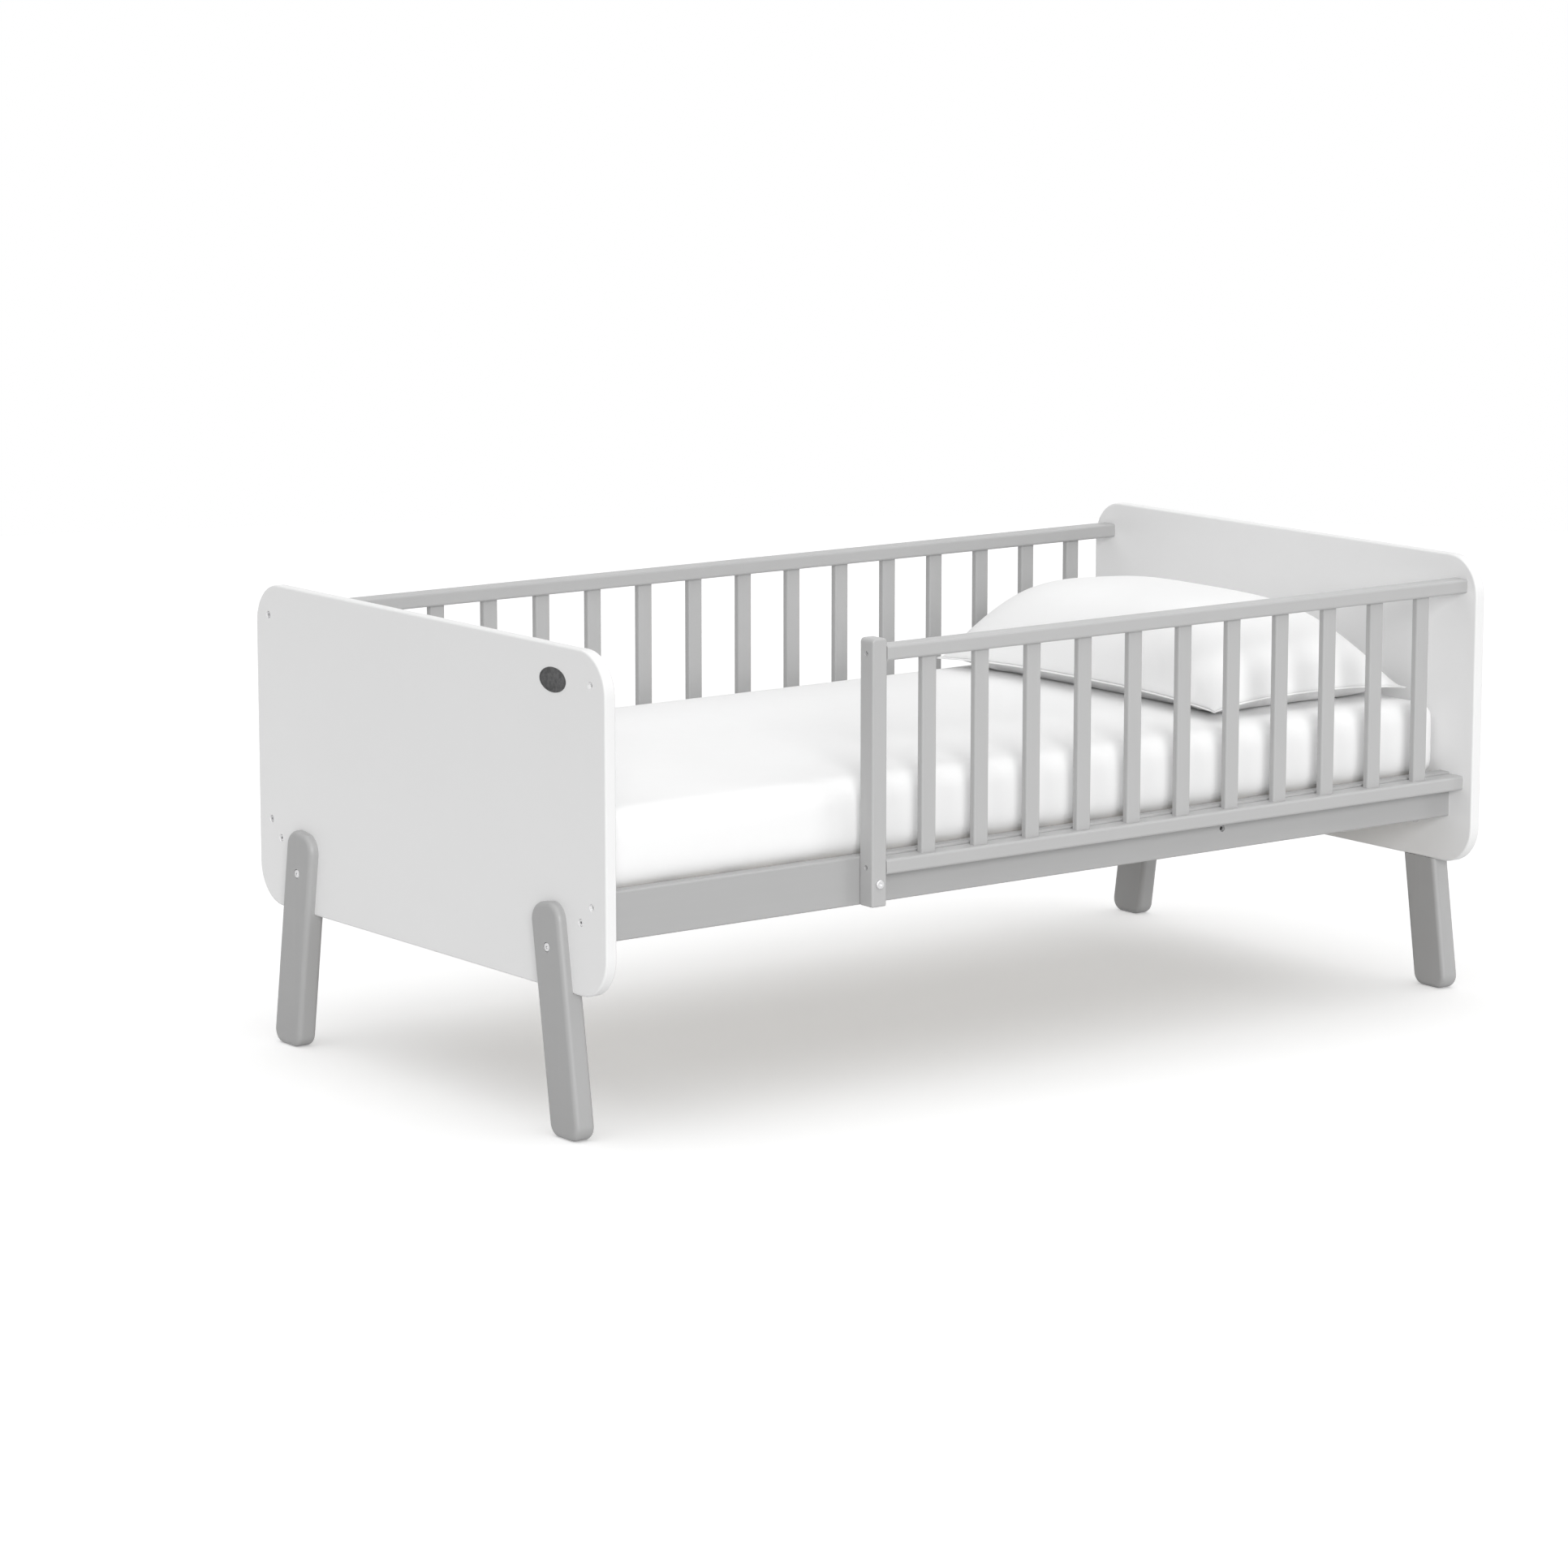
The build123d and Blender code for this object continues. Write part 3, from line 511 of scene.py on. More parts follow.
@dataclass(frozen=True)
class BareWoodFinish(Finish):
    """Planed timber with no coat: growth bands, fibres, a few knots and a tone of its own for each board."""

    late_wood: Colour = (0.56, 0.36, 0.18)
    knots: float = 0.0
    board_pitch: float = 0.0
    board_axis: int = 0
    band_count: float = 8.0
    pitch: float = 380.0

    def material(self, name: str, grain: Grain) -> bpy.types.Material:
        """Args:
            name: the material's name.
            grain: the way the fibres run.

        Returns:
            The wood.
        """
        made, graph, shader = self.begin(name)
        stretch = tuple(0.045 if axis == grain.value else 1.0 for axis in range(3))
        point = graph.place(stretch)
        plain = graph.place()
        fibres = graph.use(Groups.fibres(), Vector=point, Pitch=self.pitch, Bands=self.band_count)
        late = graph.total((fibres.outputs["Bands"], 0.5), (fibres.outputs["Fibre"], 0.35))
        wood = graph.tint(late, self.colour, self.late_wood)
        wood = graph.tint(
            graph.maths("MULTIPLY", fibres.outputs["Pores"], 0.25), wood, shaded(self.late_wood, 0.7)
        )
        if self.board_pitch:
            count = graph.maths(
                "ROUND", graph.maths("DIVIDE", graph.axes(plain)[self.board_axis], self.board_pitch)
            )
            chance = graph.node(
                "ShaderNodeTexWhiteNoise", {"W": count}, noise_dimensions="1D"
            ).outputs["Value"]
            wood = graph.tint(graph.maths("MULTIPLY", chance, 0.22), wood, shaded(self.colour, 0.86))
        if self.knots:
            stretch = tuple(5.0 if axis == grain.value else 11.0 for axis in range(3))
            cells = graph.node("ShaderNodeTexVoronoi", {"Vector": graph.place(stretch), "Scale": 1.0})
            knot = graph.spread(cells.outputs["Distance"], 0.10, 0.045, 0.0, self.knots)
            wood = graph.tint(knot, wood, shaded(self.late_wood, 0.42))
        tone = graph.use(Groups.drift(), Vector=plain, Pitch=5.0).outputs["Tone"]
        graph.feed(
            shader.inputs["Base Color"],
            graph.tint(graph.maths("MULTIPLY", tone, 0.12), wood, shaded(self.colour, 1.12)),
        )
        graph.feed(
            shader.inputs["Roughness"],
            graph.spread(fibres.outputs["Fibre"], 0.3, 0.7, self.roughness - 0.07, self.roughness + 0.08),
        )
        self.relief(graph, shader, fibres.outputs["Height"], 0.00009)
        return made


@dataclass(frozen=True)
class ZincFinish(Finish):
    """Zinc-plated steel: a faint spangle, cloudy patches and fine tool marks."""

    def material(self, name: str) -> bpy.types.Material:
        """Returns the plated steel under that name."""
        made, graph, shader = self.begin(name)
        graph.feed(shader.inputs["Metallic"], 1.0)
        point = graph.place()
        cells = graph.node("ShaderNodeTexVoronoi", {"Vector": point, "Scale": 900.0}).outputs["Color"]
        spangle = graph.axes(cells)[0]
        cloud = graph.noise(point, 160.0, 3.0, 0.6)
        edge_wear_and_highlight_mask = graph.use(Groups.edges(), Vector=point).outputs["Mask"]
        toned = graph.tint(cloud, shaded(self.colour, 0.88), shaded(self.colour, 1.08))
        # Lighter on the rounded edges: partly rubbed plating and partly a painted highlight.
        graph.feed(shader.inputs["Base Color"], graph.tint(edge_wear_and_highlight_mask, toned, shaded(self.colour, 1.18)))
        rough = graph.total((spangle, 0.10), (cloud, 0.12), (1.0, self.roughness - 0.11))
        graph.feed(shader.inputs["Roughness"], rough)
        self.relief(graph, shader, graph.noise(point, 2600.0, 2.0), 0.00001)
        return made


@dataclass(frozen=True)
class PlateFinish(Finish):
    """A dark cast plate with a satin face, mottled like sand-cast metal and a little lighter on its rim,
    partly rubbed and partly a painted highlight.
    """

    def material(self, name: str) -> bpy.types.Material:
        """Returns the cast plate's finish under that name."""
        made, graph, shader = self.begin(name)
        point = graph.place()
        patches = graph.noise(point, 165.0, 4.0, 0.62)
        grit = graph.noise(point, 2600.0, 2.0)
        edge_wear_and_highlight_mask = graph.use(Groups.edges(), Vector=point).outputs["Mask"]
        tone = graph.spread(graph.total((patches, 0.75), (grit, 0.25)), 0.40, 0.62, 0.0, 1.0)
        metal = graph.tint(tone, shaded(self.colour, 0.5), shaded(self.colour, 2.1))
        graph.feed(shader.inputs["Base Color"], graph.tint(edge_wear_and_highlight_mask, metal, shaded(self.colour, 2.0)))
        graph.feed(
            shader.inputs["Roughness"],
            graph.spread(grit, 0.3, 0.7, self.roughness - 0.08, self.roughness + 0.1),
        )
        self.relief(graph, shader, graph.total((patches, 0.6), (grit, 0.4)), 0.00006)
        return made


class Structure(Enum):
    """How a cloth is made."""

    WOVEN = "woven"
    KNITTED = "knitted"


@dataclass(frozen=True)
class ClothFinish(Finish):
    """Cotton cloth with its threads, slubs and a soft nap."""

    structure: Structure = Structure.WOVEN
    threads: float = 1400.0
    depth: float = 0.00012
    nap: float = 0.15

    def material(self, name: str, on_piece: bool = True) -> bpy.types.Material:
        """Args:
            name: the material's name.
            on_piece: True where the piece has its own UV map in metres, False to use the piece's coordinates.

        Returns:
            The cloth.
        """
        made, graph, shader = self.begin(name)
        point = graph.place()
        laid = graph.node("ShaderNodeUVMap", uv_map=CLOTH_MAP).outputs[0] if on_piece else point
        if self.structure is Structure.KNITTED:
            cloth = graph.use(Groups.knit(), Vector=laid, Stitches=self.threads)
        else:
            cloth = graph.use(Groups.weave(), Vector=laid, Threads=self.threads)
        tone = graph.use(Groups.drift(), Vector=point, Pitch=6.0).outputs["Tone"]
        # Painted shade: the cloth is darker in the hollows between its threads and lighter on their crests.
        painted_thread_shade = graph.spread(cloth.outputs["Height"], 0.1, 0.95, 0.0, 1.0)
        body = graph.tint(painted_thread_shade, shaded(self.colour, 0.955), shaded(self.colour, 1.012))
        slubbed = graph.tint(
            graph.spread(cloth.outputs["Slub"], 0.35, 0.65, 0.0, 0.5), body, shaded(self.colour, 0.985)
        )
        graph.feed(
            shader.inputs["Base Color"],
            graph.tint(graph.maths("MULTIPLY", tone, 0.5), slubbed, shaded(self.colour, 1.006)),
        )
        graph.feed(
            shader.inputs["Roughness"],
            graph.spread(cloth.outputs["Slub"], 0.3, 0.7, self.roughness - 0.05, self.roughness + 0.05),
        )
        graph.feed(shader.inputs["Sheen Weight"], self.nap)
        graph.feed(shader.inputs["Sheen Roughness"], 0.45)
        graph.feed(shader.inputs["Specular IOR Level"], 0.25)
        self.relief(
            graph,
            shader,
            graph.total((cloth.outputs["Height"], 0.8), (cloth.outputs["Slub"], 0.35)),
            self.depth,
            0.7,
        )
        return made


CLOTH_MAP = "cloth_metres"
WHITE_PAINT = PaintFinish(
    "white_paint",
    (0.845, 0.845, 0.845),
    0.42,
    stipple_pitch=620.0,
    stipple_depth=0.00003,
    drift=0.008,
    edge_wear_and_highlight_share=1.03,
)
# The next three greys are lit and shaded copies of one grey paint: the front guard's paler copy is painted
# light, and the darker copies on the side rails, rear guard and legs are painted shade.
GREY_LIT_COPY = PaintFinish("grey_paint", (0.468, 0.468, 0.468), 0.36, grain_share=0.35)
GREY_SHADED_COPY = PaintFinish("grey_paint", (0.415, 0.415, 0.415), 0.36, grain_share=0.35)
GREY_DEEPER_SHADED_COPY = PaintFinish("grey_paint", (0.396, 0.396, 0.396), 0.42, grain_share=0.35)
BARE_PINE = BareWoodFinish(
    "bare_pine", (0.78, 0.735, 0.66), 0.62, late_wood=(0.64, 0.56, 0.45), knots=0.6, board_pitch=0.110
)
LEDGER_PINE = BareWoodFinish("bare_pine", (0.78, 0.735, 0.66), 0.62, late_wood=(0.64, 0.56, 0.45), knots=0.5)
BEECH = BareWoodFinish(
    "dowel_beech", (0.66, 0.46, 0.28), 0.58, late_wood=(0.50, 0.31, 0.17), band_count=3.0, pitch=900.0
)
BRIGHT_ZINC = ZincFinish("zinc_steel", (0.64, 0.64, 0.645), 0.38)
# A darker, rougher copy of the zinc for nuts, screws and inserts: the rougher plate is real, the darker
# colour is painted shade.
ZINC_SHADED_COPY = ZincFinish("zinc_steel", (0.52, 0.52, 0.525), 0.46)
DARK_PLATE = PlateFinish("badge", (0.041, 0.041, 0.042), 0.50)
KNIT_COVER = ClothFinish(
    "mattress_cover", (0.935, 0.935, 0.935), 0.85, structure=Structure.KNITTED, threads=620.0
)
PERCALE = ClothFinish("pillow_cover", (0.935, 0.935, 0.935), 0.82, threads=1500.0, depth=0.00009, nap=0.12)
TAPE = ClothFinish("webbing", (0.74, 0.72, 0.66), 0.80, threads=900.0, depth=0.00025, nap=0.1)


def dress(names: Iterable[str], material: bpy.types.Material) -> None:
    """Puts a finish on nodes of the frame.

    Args:
        names: the nodes' names.
        material: their finish.
    """
    for name in names:
        piece = frame["nodes"][name]
        if not piece.material_slots:
            piece.data.materials.append(material)
        for holder in piece.material_slots:
            holder.material = material
        LOG.info("dressed %s in %s", name, material.name)


# ---------------------------------------------------------------------------------------------
# The rigid frame


@dataclass
class EndPanels:
    """The two white end boards, and the small dark oval plate on the foot one."""

    boards: tuple[str, ...] = ("foot_panel", "head_panel")
    plate: str = "badge_plate"
    paint: PaintFinish = WHITE_PAINT
    plate_finish: PlateFinish = DARK_PLATE

    def finish(self) -> None:
        """Paints the boards and darkens the plate."""
        dress(self.boards, self.paint.material("white_panel_paint", Grain.WIDTH))
        dress((self.plate,), self.plate_finish.material("dark_cast_plate"))


@dataclass
class Legs:
    """Four splayed legs, each lapped up the outside of its end board."""

    names: tuple[str, ...] = ("foot_front_leg", "foot_rear_leg", "head_front_leg", "head_rear_leg")
    paint: PaintFinish = GREY_DEEPER_SHADED_COPY

    def finish(self) -> None:
        """Paints the legs, whose grain runs up them, in the darkest copy of the grey paint: painted shade."""
        dress(self.names, self.paint.material("grey_leg_paint", Grain.HEIGHT))


@dataclass
class Rails:
    """The side rails and the guards' long rails, whose grain runs along the bed."""

    side_rails: tuple[str, ...] = ("front_side_rail", "rear_side_rail")
    rear_guard: tuple[str, ...] = ("rear_guard_top_rail", "rear_guard_bottom_rail")
    front_guard: tuple[str, ...] = ("front_guard_top_rail", "front_guard_bottom_rail")
    paint: PaintFinish = GREY_SHADED_COPY
    lit_copy_paint: PaintFinish = GREY_LIT_COPY

    def finish(self) -> None:
        """Paints the side rails and the rear guard's in a darker copy of the grey paint, as painted shade,
        and the front guard's in a paler copy, as painted light.
        """
        dress(self.side_rails + self.rear_guard, self.paint.material("grey_rail_paint", Grain.LENGTH))
        dress(self.front_guard, self.lit_copy_paint.material("pale_grey_rail_paint", Grain.LENGTH))


@dataclass
class GuardUprights:
    """The guards' slats and the front guard's post, whose grain runs up them."""

    rear_slats: int = 16
    front_slats: int = 11
    post: str = "front_guard_post"
    paint: PaintFinish = GREY_SHADED_COPY
    lit_copy_paint: PaintFinish = GREY_LIT_COPY

    def finish(self) -> None:
        """Paints the rear slats in a darker copy of the grey paint, as painted shade, and the front guard's
        post and slats in a paler copy, as painted light.
        """
        rear = [f"rear_guard_slat_{i:02d}" for i in range(1, self.rear_slats + 1)]
        front = [f"front_guard_slat_{i:02d}" for i in range(1, self.front_slats + 1)]
        dress(rear, self.paint.material("grey_slat_paint", Grain.HEIGHT))
        dress([self.post] + front, self.lit_copy_paint.material("pale_grey_slat_paint", Grain.HEIGHT))


@dataclass
class SlattedBase:
    """Ledgers, bare cross slats and the two tapes that space them."""

    ledgers: tuple[str, ...] = ("front_ledger", "rear_ledger")
    slats: str = "base_slats"
    tapes: str = "slat_webbing"

    def finish(self) -> None:
        """Leaves the timber bare and the tapes woven."""
        dress(self.ledgers, LEDGER_PINE.material("ledger_pine", Grain.LENGTH))
        dress((self.slats,), BARE_PINE.material("slat_pine", Grain.WIDTH))
        dress((self.tapes,), TAPE.material("spacing_tape", on_piece=False))


@dataclass
class Fixings:
    """Every bolt, nut, screw, insert and dowel."""

    bright_endings: tuple[str, ...] = ("bolt", "bolts")
    dull_endings: tuple[str, ...] = ("nuts", "screws", "inserts")
    dowel_endings: tuple[str, ...] = ("dowels",)

    def finish(self) -> None:
        """Plates the bolts bright and the other metal ones in a darker, rougher copy whose darkness is
        painted shade, and leaves the dowels bare beech.
        """
        bright = [name for name in frame["nodes"] if name.endswith(self.bright_endings)]
        dull = [name for name in frame["nodes"] if name.endswith(self.dull_endings)]
        dowels = [name for name in frame["nodes"] if name.endswith(self.dowel_endings)]
        dress(bright, BRIGHT_ZINC.material("bright_zinc_plate"))
        dress(dull, ZINC_SHADED_COPY.material("zinc_shaded_copy_plate"))
        dress(dowels, BEECH.material("beech_dowel", Grain.LENGTH))


# ---------------------------------------------------------------------------------------------
# Soft pieces


def only(piece: bpy.types.Object) -> None:
    """Selects this piece alone and makes it active."""
    bpy.ops.object.select_all(action="DESELECT")
    piece.select_set(True)
    bpy.context.view_layer.objects.active = piece


def points_of(piece: bpy.types.Object) -> np.ndarray:
    """Returns the piece's vertices as rows of X, Y and Z."""
    flat = np.empty(len(piece.data.vertices) * 3)
    piece.data.vertices.foreach_get("co", flat)
    return flat.reshape(-1, 3)


def move_points(piece: bpy.types.Object, points: np.ndarray) -> None:
    """Puts the piece's vertices at these places."""
    piece.data.vertices.foreach_set("co", np.ascontiguousarray(points, dtype=np.float32).ravel())
    piece.data.update()


def lay_cloth_map(piece: bpy.types.Object, laid: Callable[[np.ndarray, np.ndarray], np.ndarray]) -> None:
    """Gives the piece a UV map in metres.

    Args:
        piece: the piece.
        laid: from the corners' points and their faces' normals to U and V.
    """
    mesh = piece.data
    while mesh.uv_layers:
        mesh.uv_layers.remove(mesh.uv_layers[0])
    corners = np.empty(len(mesh.loops), dtype=np.int64)
    mesh.loops.foreach_get("vertex_index", corners)
    normals = np.empty(len(mesh.polygons) * 3)
    mesh.polygons.foreach_get("normal", normals)
    sides = np.empty(len(mesh.polygons), dtype=np.int64)
    mesh.polygons.foreach_get("loop_total", sides)
    per_corner = np.repeat(normals.reshape(-1, 3), sides, axis=0)
    layer = mesh.uv_layers.new(name=CLOTH_MAP)
    layer.data.foreach_set("uv", laid(points_of(piece)[corners], per_corner).astype(np.float32).ravel())


def weigh(piece: bpy.types.Object, name: str, weights: np.ndarray) -> str:
    """Adds a vertex group.

    Args:
        piece: the piece.
        name: the group's name.
        weights: each vertex's weight.

    Returns:
        The group's name.
    """
    group = piece.vertex_groups.new(name=name)
    for index, weight in enumerate(weights):
        group.add([index], float(weight), "REPLACE")
    return name


@dataclass(frozen=True)
class Stuffing:
    """How a sewn shell is blown up and how far its cloth may move."""

    pressure: float
    ease_low: float
    ease_high: float
    steps: int = 20
    stiffness: float = 18.0
    bending: float = 0.35
    quality: int = 6

    def swell(self, piece: bpy.types.Object, ease: np.ndarray, held: np.ndarray, limit: np.ndarray) -> None:
        """Runs the cloth simulation and applies it.

        Args:
            piece: the sewn shell.
            ease: for each vertex, from 0 for ease_low to 1 for ease_high, how much longer its cloth is cut.
            held: for each vertex, how firmly the filling holds it.
            limit: how far each vertex may go, in metres.
        """
        start = points_of(piece)
        only(piece)
        bpy.ops.object.modifier_add(type="CLOTH")
        cloth = piece.modifiers[-1]
        settings = cloth.settings
        settings.quality = self.quality
        settings.mass = 0.3
        settings.tension_stiffness = self.stiffness
        settings.compression_stiffness = self.stiffness
        settings.shear_stiffness = self.stiffness / 3
        settings.bending_stiffness = self.bending
        settings.use_pressure = True
        settings.uniform_pressure_force = self.pressure
        settings.vertex_group_shrink = weigh(piece, "ease", ease)
        settings.shrink_min = -self.ease_low
        settings.shrink_max = -self.ease_high
        settings.vertex_group_mass = weigh(piece, "held", held)
        settings.pin_stiffness = 1.0
        settings.effector_weights.gravity = 0.0
        cloth.collision_settings.use_collision = False
        cloth.point_cache.frame_start = 1
        cloth.point_cache.frame_end = self.steps
        for step in range(1, self.steps + 1):
            bpy.context.scene.frame_set(step)
        bpy.ops.object.modifier_apply(modifier=cloth.name)
        bpy.context.scene.frame_set(1)
        piece.vertex_groups.clear()
        moved = points_of(piece) - start
        reach = np.linalg.norm(moved, axis=1, keepdims=True)
        capped = limit[:, None] * np.tanh(reach / limit[:, None])
        move_points(piece, start + moved * capped / np.maximum(reach, 1e-9))
        LOG.info(
            "%s swelled: free reach %.1f mm, kept %.1f mm",
            piece.name,
            reach.max() * 1000,
            capped.max() * 1000,
        )


def smooth_out(piece: bpy.types.Object, levels: int) -> None:
    """Subdivides the piece, applies it and shades it smooth.

    Args:
        piece: the piece.
        levels: how many times each face is divided.
    """
    only(piece)
    bpy.ops.object.modifier_add(type="SUBSURF")
    surface = piece.modifiers[-1]
    surface.levels = levels
    surface.render_levels = levels
    bpy.ops.object.modifier_apply(modifier=surface.name)
    bpy.ops.object.shade_smooth()


@dataclass
class Mattress:
    """A foam block in a fitted knitted cover, with soft edges and faint pulls at its corners."""

    node: str = "mattress"
    cell: float = 0.013
    corner_radius: float = 0.018
    top_radius: float = 0.0235
    bottom_radius: float = 0.027
    slack: float = 0.0012
    beside_rails: float = 0.022
    cover: ClothFinish = KNIT_COVER
    stuffing: Stuffing = field(
        default_factory=lambda: Stuffing(0.25, 0.0, 0.05, steps=16, stiffness=12.0, bending=0.12)
    )

    def build(self) -> bpy.types.Object:
        """Returns the finished mattress, in place on its body."""
        low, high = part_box(self.node)
        self.low = np.array(low) + (self.slack, self.slack, 0.0)
        self.high = np.array(high) - (self.slack, self.slack, 0.0)
        piece = self.block()
        lay_cloth_map(piece, self.laid)
        move_points(piece, self.rounded(points_of(piece)))
        start = points_of(piece)
        ease, held, limit = self.cloth_plan(start)
        self.stuffing.swell(piece, ease, held, limit)
        move_points(piece, self.kept_clear(points_of(piece)))
        smooth_out(piece, 1)
        piece.data.materials.append(self.cover.material("mattress_knit"))
        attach(piece, "mattress")
        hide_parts(self.node)
        LOG.info("built %s", piece.name)
        return piece

    def block(self) -> bpy.types.Object:
        """Returns a plain block of about square cells, before its edges are rounded."""
        bpy.ops.object.select_all(action="DESELECT")
        size = self.high - self.low
        bpy.ops.mesh.primitive_cube_add(
            size=1.0, location=tuple((self.high + self.low) / 2), scale=tuple(size)
        )
        piece = bpy.context.active_object
        piece.name = "mattress_cover"
        piece.data.name = piece.name
        bpy.ops.object.transform_apply(location=True, rotation=True, scale=True)
        bpy.ops.object.mode_set(mode="EDIT")
        bpy.ops.mesh.select_mode(type="EDGE")
        for axis in range(3):
            bpy.ops.mesh.select_all(action="DESELECT")
            bpy.ops.object.mode_set(mode="OBJECT")
            for edge in piece.data.edges:
                first, second = (piece.data.vertices[i].co for i in edge.vertices)
                along = abs(first[axis] - second[axis])
                edge.select = along > 0.9 * (first - second).length
            bpy.ops.object.mode_set(mode="EDIT")
            bpy.ops.mesh.subdivide(number_cuts=max(1, round(size[axis] / self.cell) - 1))
        bpy.ops.object.mode_set(mode="OBJECT")
        return piece

    def laid(self, points: np.ndarray, normals: np.ndarray) -> np.ndarray:
        """Returns each corner's U and V, with the sides unfolded from the top."""
        laid = points[:, :2].copy()
        depth = self.high[2] - points[:, 2]
        for axis in range(2):
            side = np.abs(normals[:, axis]) > 0.5
            laid[side, axis] += np.sign(normals[side, axis]) * depth[side]
        return laid

    def rounded(self, points: np.ndarray) -> np.ndarray:
        """Rounds the block's corners and edges.

        Args:
            points: the plain block's vertices.

        Returns:
            The rounded block's vertices.
        """
        middle = (self.high[:2] + self.low[:2]) / 2
        half = (self.high[:2] - self.low[:2]) / 2
        plan = points[:, :2] - middle
        depth = self.high[2] - points[:, 2]
        rise = points[:, 2] - self.low[2]
        ring = np.min(half - np.abs(plan), axis=1)
        result = points.copy()
        inset = ring.copy()
        for radius, away, sign in ((self.top_radius, depth, -1), (self.bottom_radius, rise, 1)):
            on_face = away < 1e-6
            near = on_face & (ring < radius)
            angle = np.radians(45) * (1 - ring / radius)
            inset[near] = radius * (1 - np.sin(angle[near]))
            result[near, 2] += sign * radius * (1 - np.cos(angle[near]))
            side = ~on_face & (away < radius) & (ring < 1e-6)
            angle = np.radians(45) * (1 + away / radius)
            inset[side] = radius * (1 - np.sin(angle[side]))
            drop = radius * (1 - np.cos(angle[side]))
            result[side, 2] = (self.high[2] if sign < 0 else self.low[2]) + sign * drop
        for index in range(len(points)):
            result[index, :2] = middle + self.on_ring(plan[index], half, ring[index], inset[index])
        return result

    def on_ring(self, plan: np.ndarray, half: np.ndarray, ring: float, inset: float) -> np.ndarray:
        """Moves a point from a square ring to the rounded one.

        Args:
            plan: the point, from the middle.
            half: half the block's length and width.
            ring: how far inside the square outline the point is.
            inset: how far inside the rounded outline it goes.

        Returns:
            Its new place, from the middle.
        """
        radius = max(self.corner_radius - inset, 0.0)
        square = np.maximum(half - ring, 1e-6)
        target = half - inset
        sign = np.where(plan < 0, -1.0, 1.0)
        size = np.abs(plan) / square * target
        if radius <= 0 or np.any(size < target - radius - 1e-9):
            return sign * size
        along = 0 if square[1] - abs(plan[1]) < square[0] - abs(plan[0]) else 1
        share = (size[along] - (target[along] - radius)) / radius
        angle = math.radians(45) * share
        core = target - radius
        placed = core.copy()
        placed[along] += radius * math.sin(angle)
        placed[1 - along] += radius * math.cos(angle)
        return sign * placed

    def cloth_plan(self, points: np.ndarray) -> tuple[np.ndarray, np.ndarray, np.ndarray]:
        """Args:
            points: the rounded block's vertices.

        Returns:
            For each vertex the cover's ease, how firmly the foam holds it, and how far it may go.
        """
        middle = (self.high[:2] + self.low[:2]) / 2
        half = (self.high[:2] - self.low[:2]) / 2
        from_corner = np.linalg.norm(half - np.abs(points[:, :2] - middle), axis=1)
        corner = np.exp(-((from_corner / 0.16) ** 2))
        from_edge = np.min(half - np.abs(points[:, :2] - middle), axis=1)
        lower = np.clip((self.high[2] - points[:, 2]) / 0.12, 0, 1)
        ease = np.clip(corner + 0.35 * lower * (from_edge < 0.02), 0, 1)
        under = points[:, 2] < self.low[2] + 1e-4
        held = np.where(under, 1.0, np.clip(0.75 * from_edge / 0.12, 0.02, 0.75))
        beside_rail = points[:, 2] < self.low[2] + self.beside_rails
        at_end = np.abs(points[:, 0] - middle[0]) > half[0] - 0.03
        limit = np.where(beside_rail | at_end, 0.0016, 0.0042)
        return ease, held, limit

    def kept_clear(self, points: np.ndarray) -> np.ndarray:
        """Returns the vertices held inside the room that the bed leaves for the mattress."""
        room_low = self.low - (0.0022, 0.0045, 0.0)
        room_high = self.high + (0.0022, 0.0045, 0.0)
        kept = np.clip(points, room_low, room_high)
        beside_rail = points[:, 2] < self.low[2] + self.beside_rails
        kept[beside_rail, 1] = np.clip(kept[beside_rail, 1], self.low[1] - 0.0022, self.high[1] + 0.0022)
        return kept


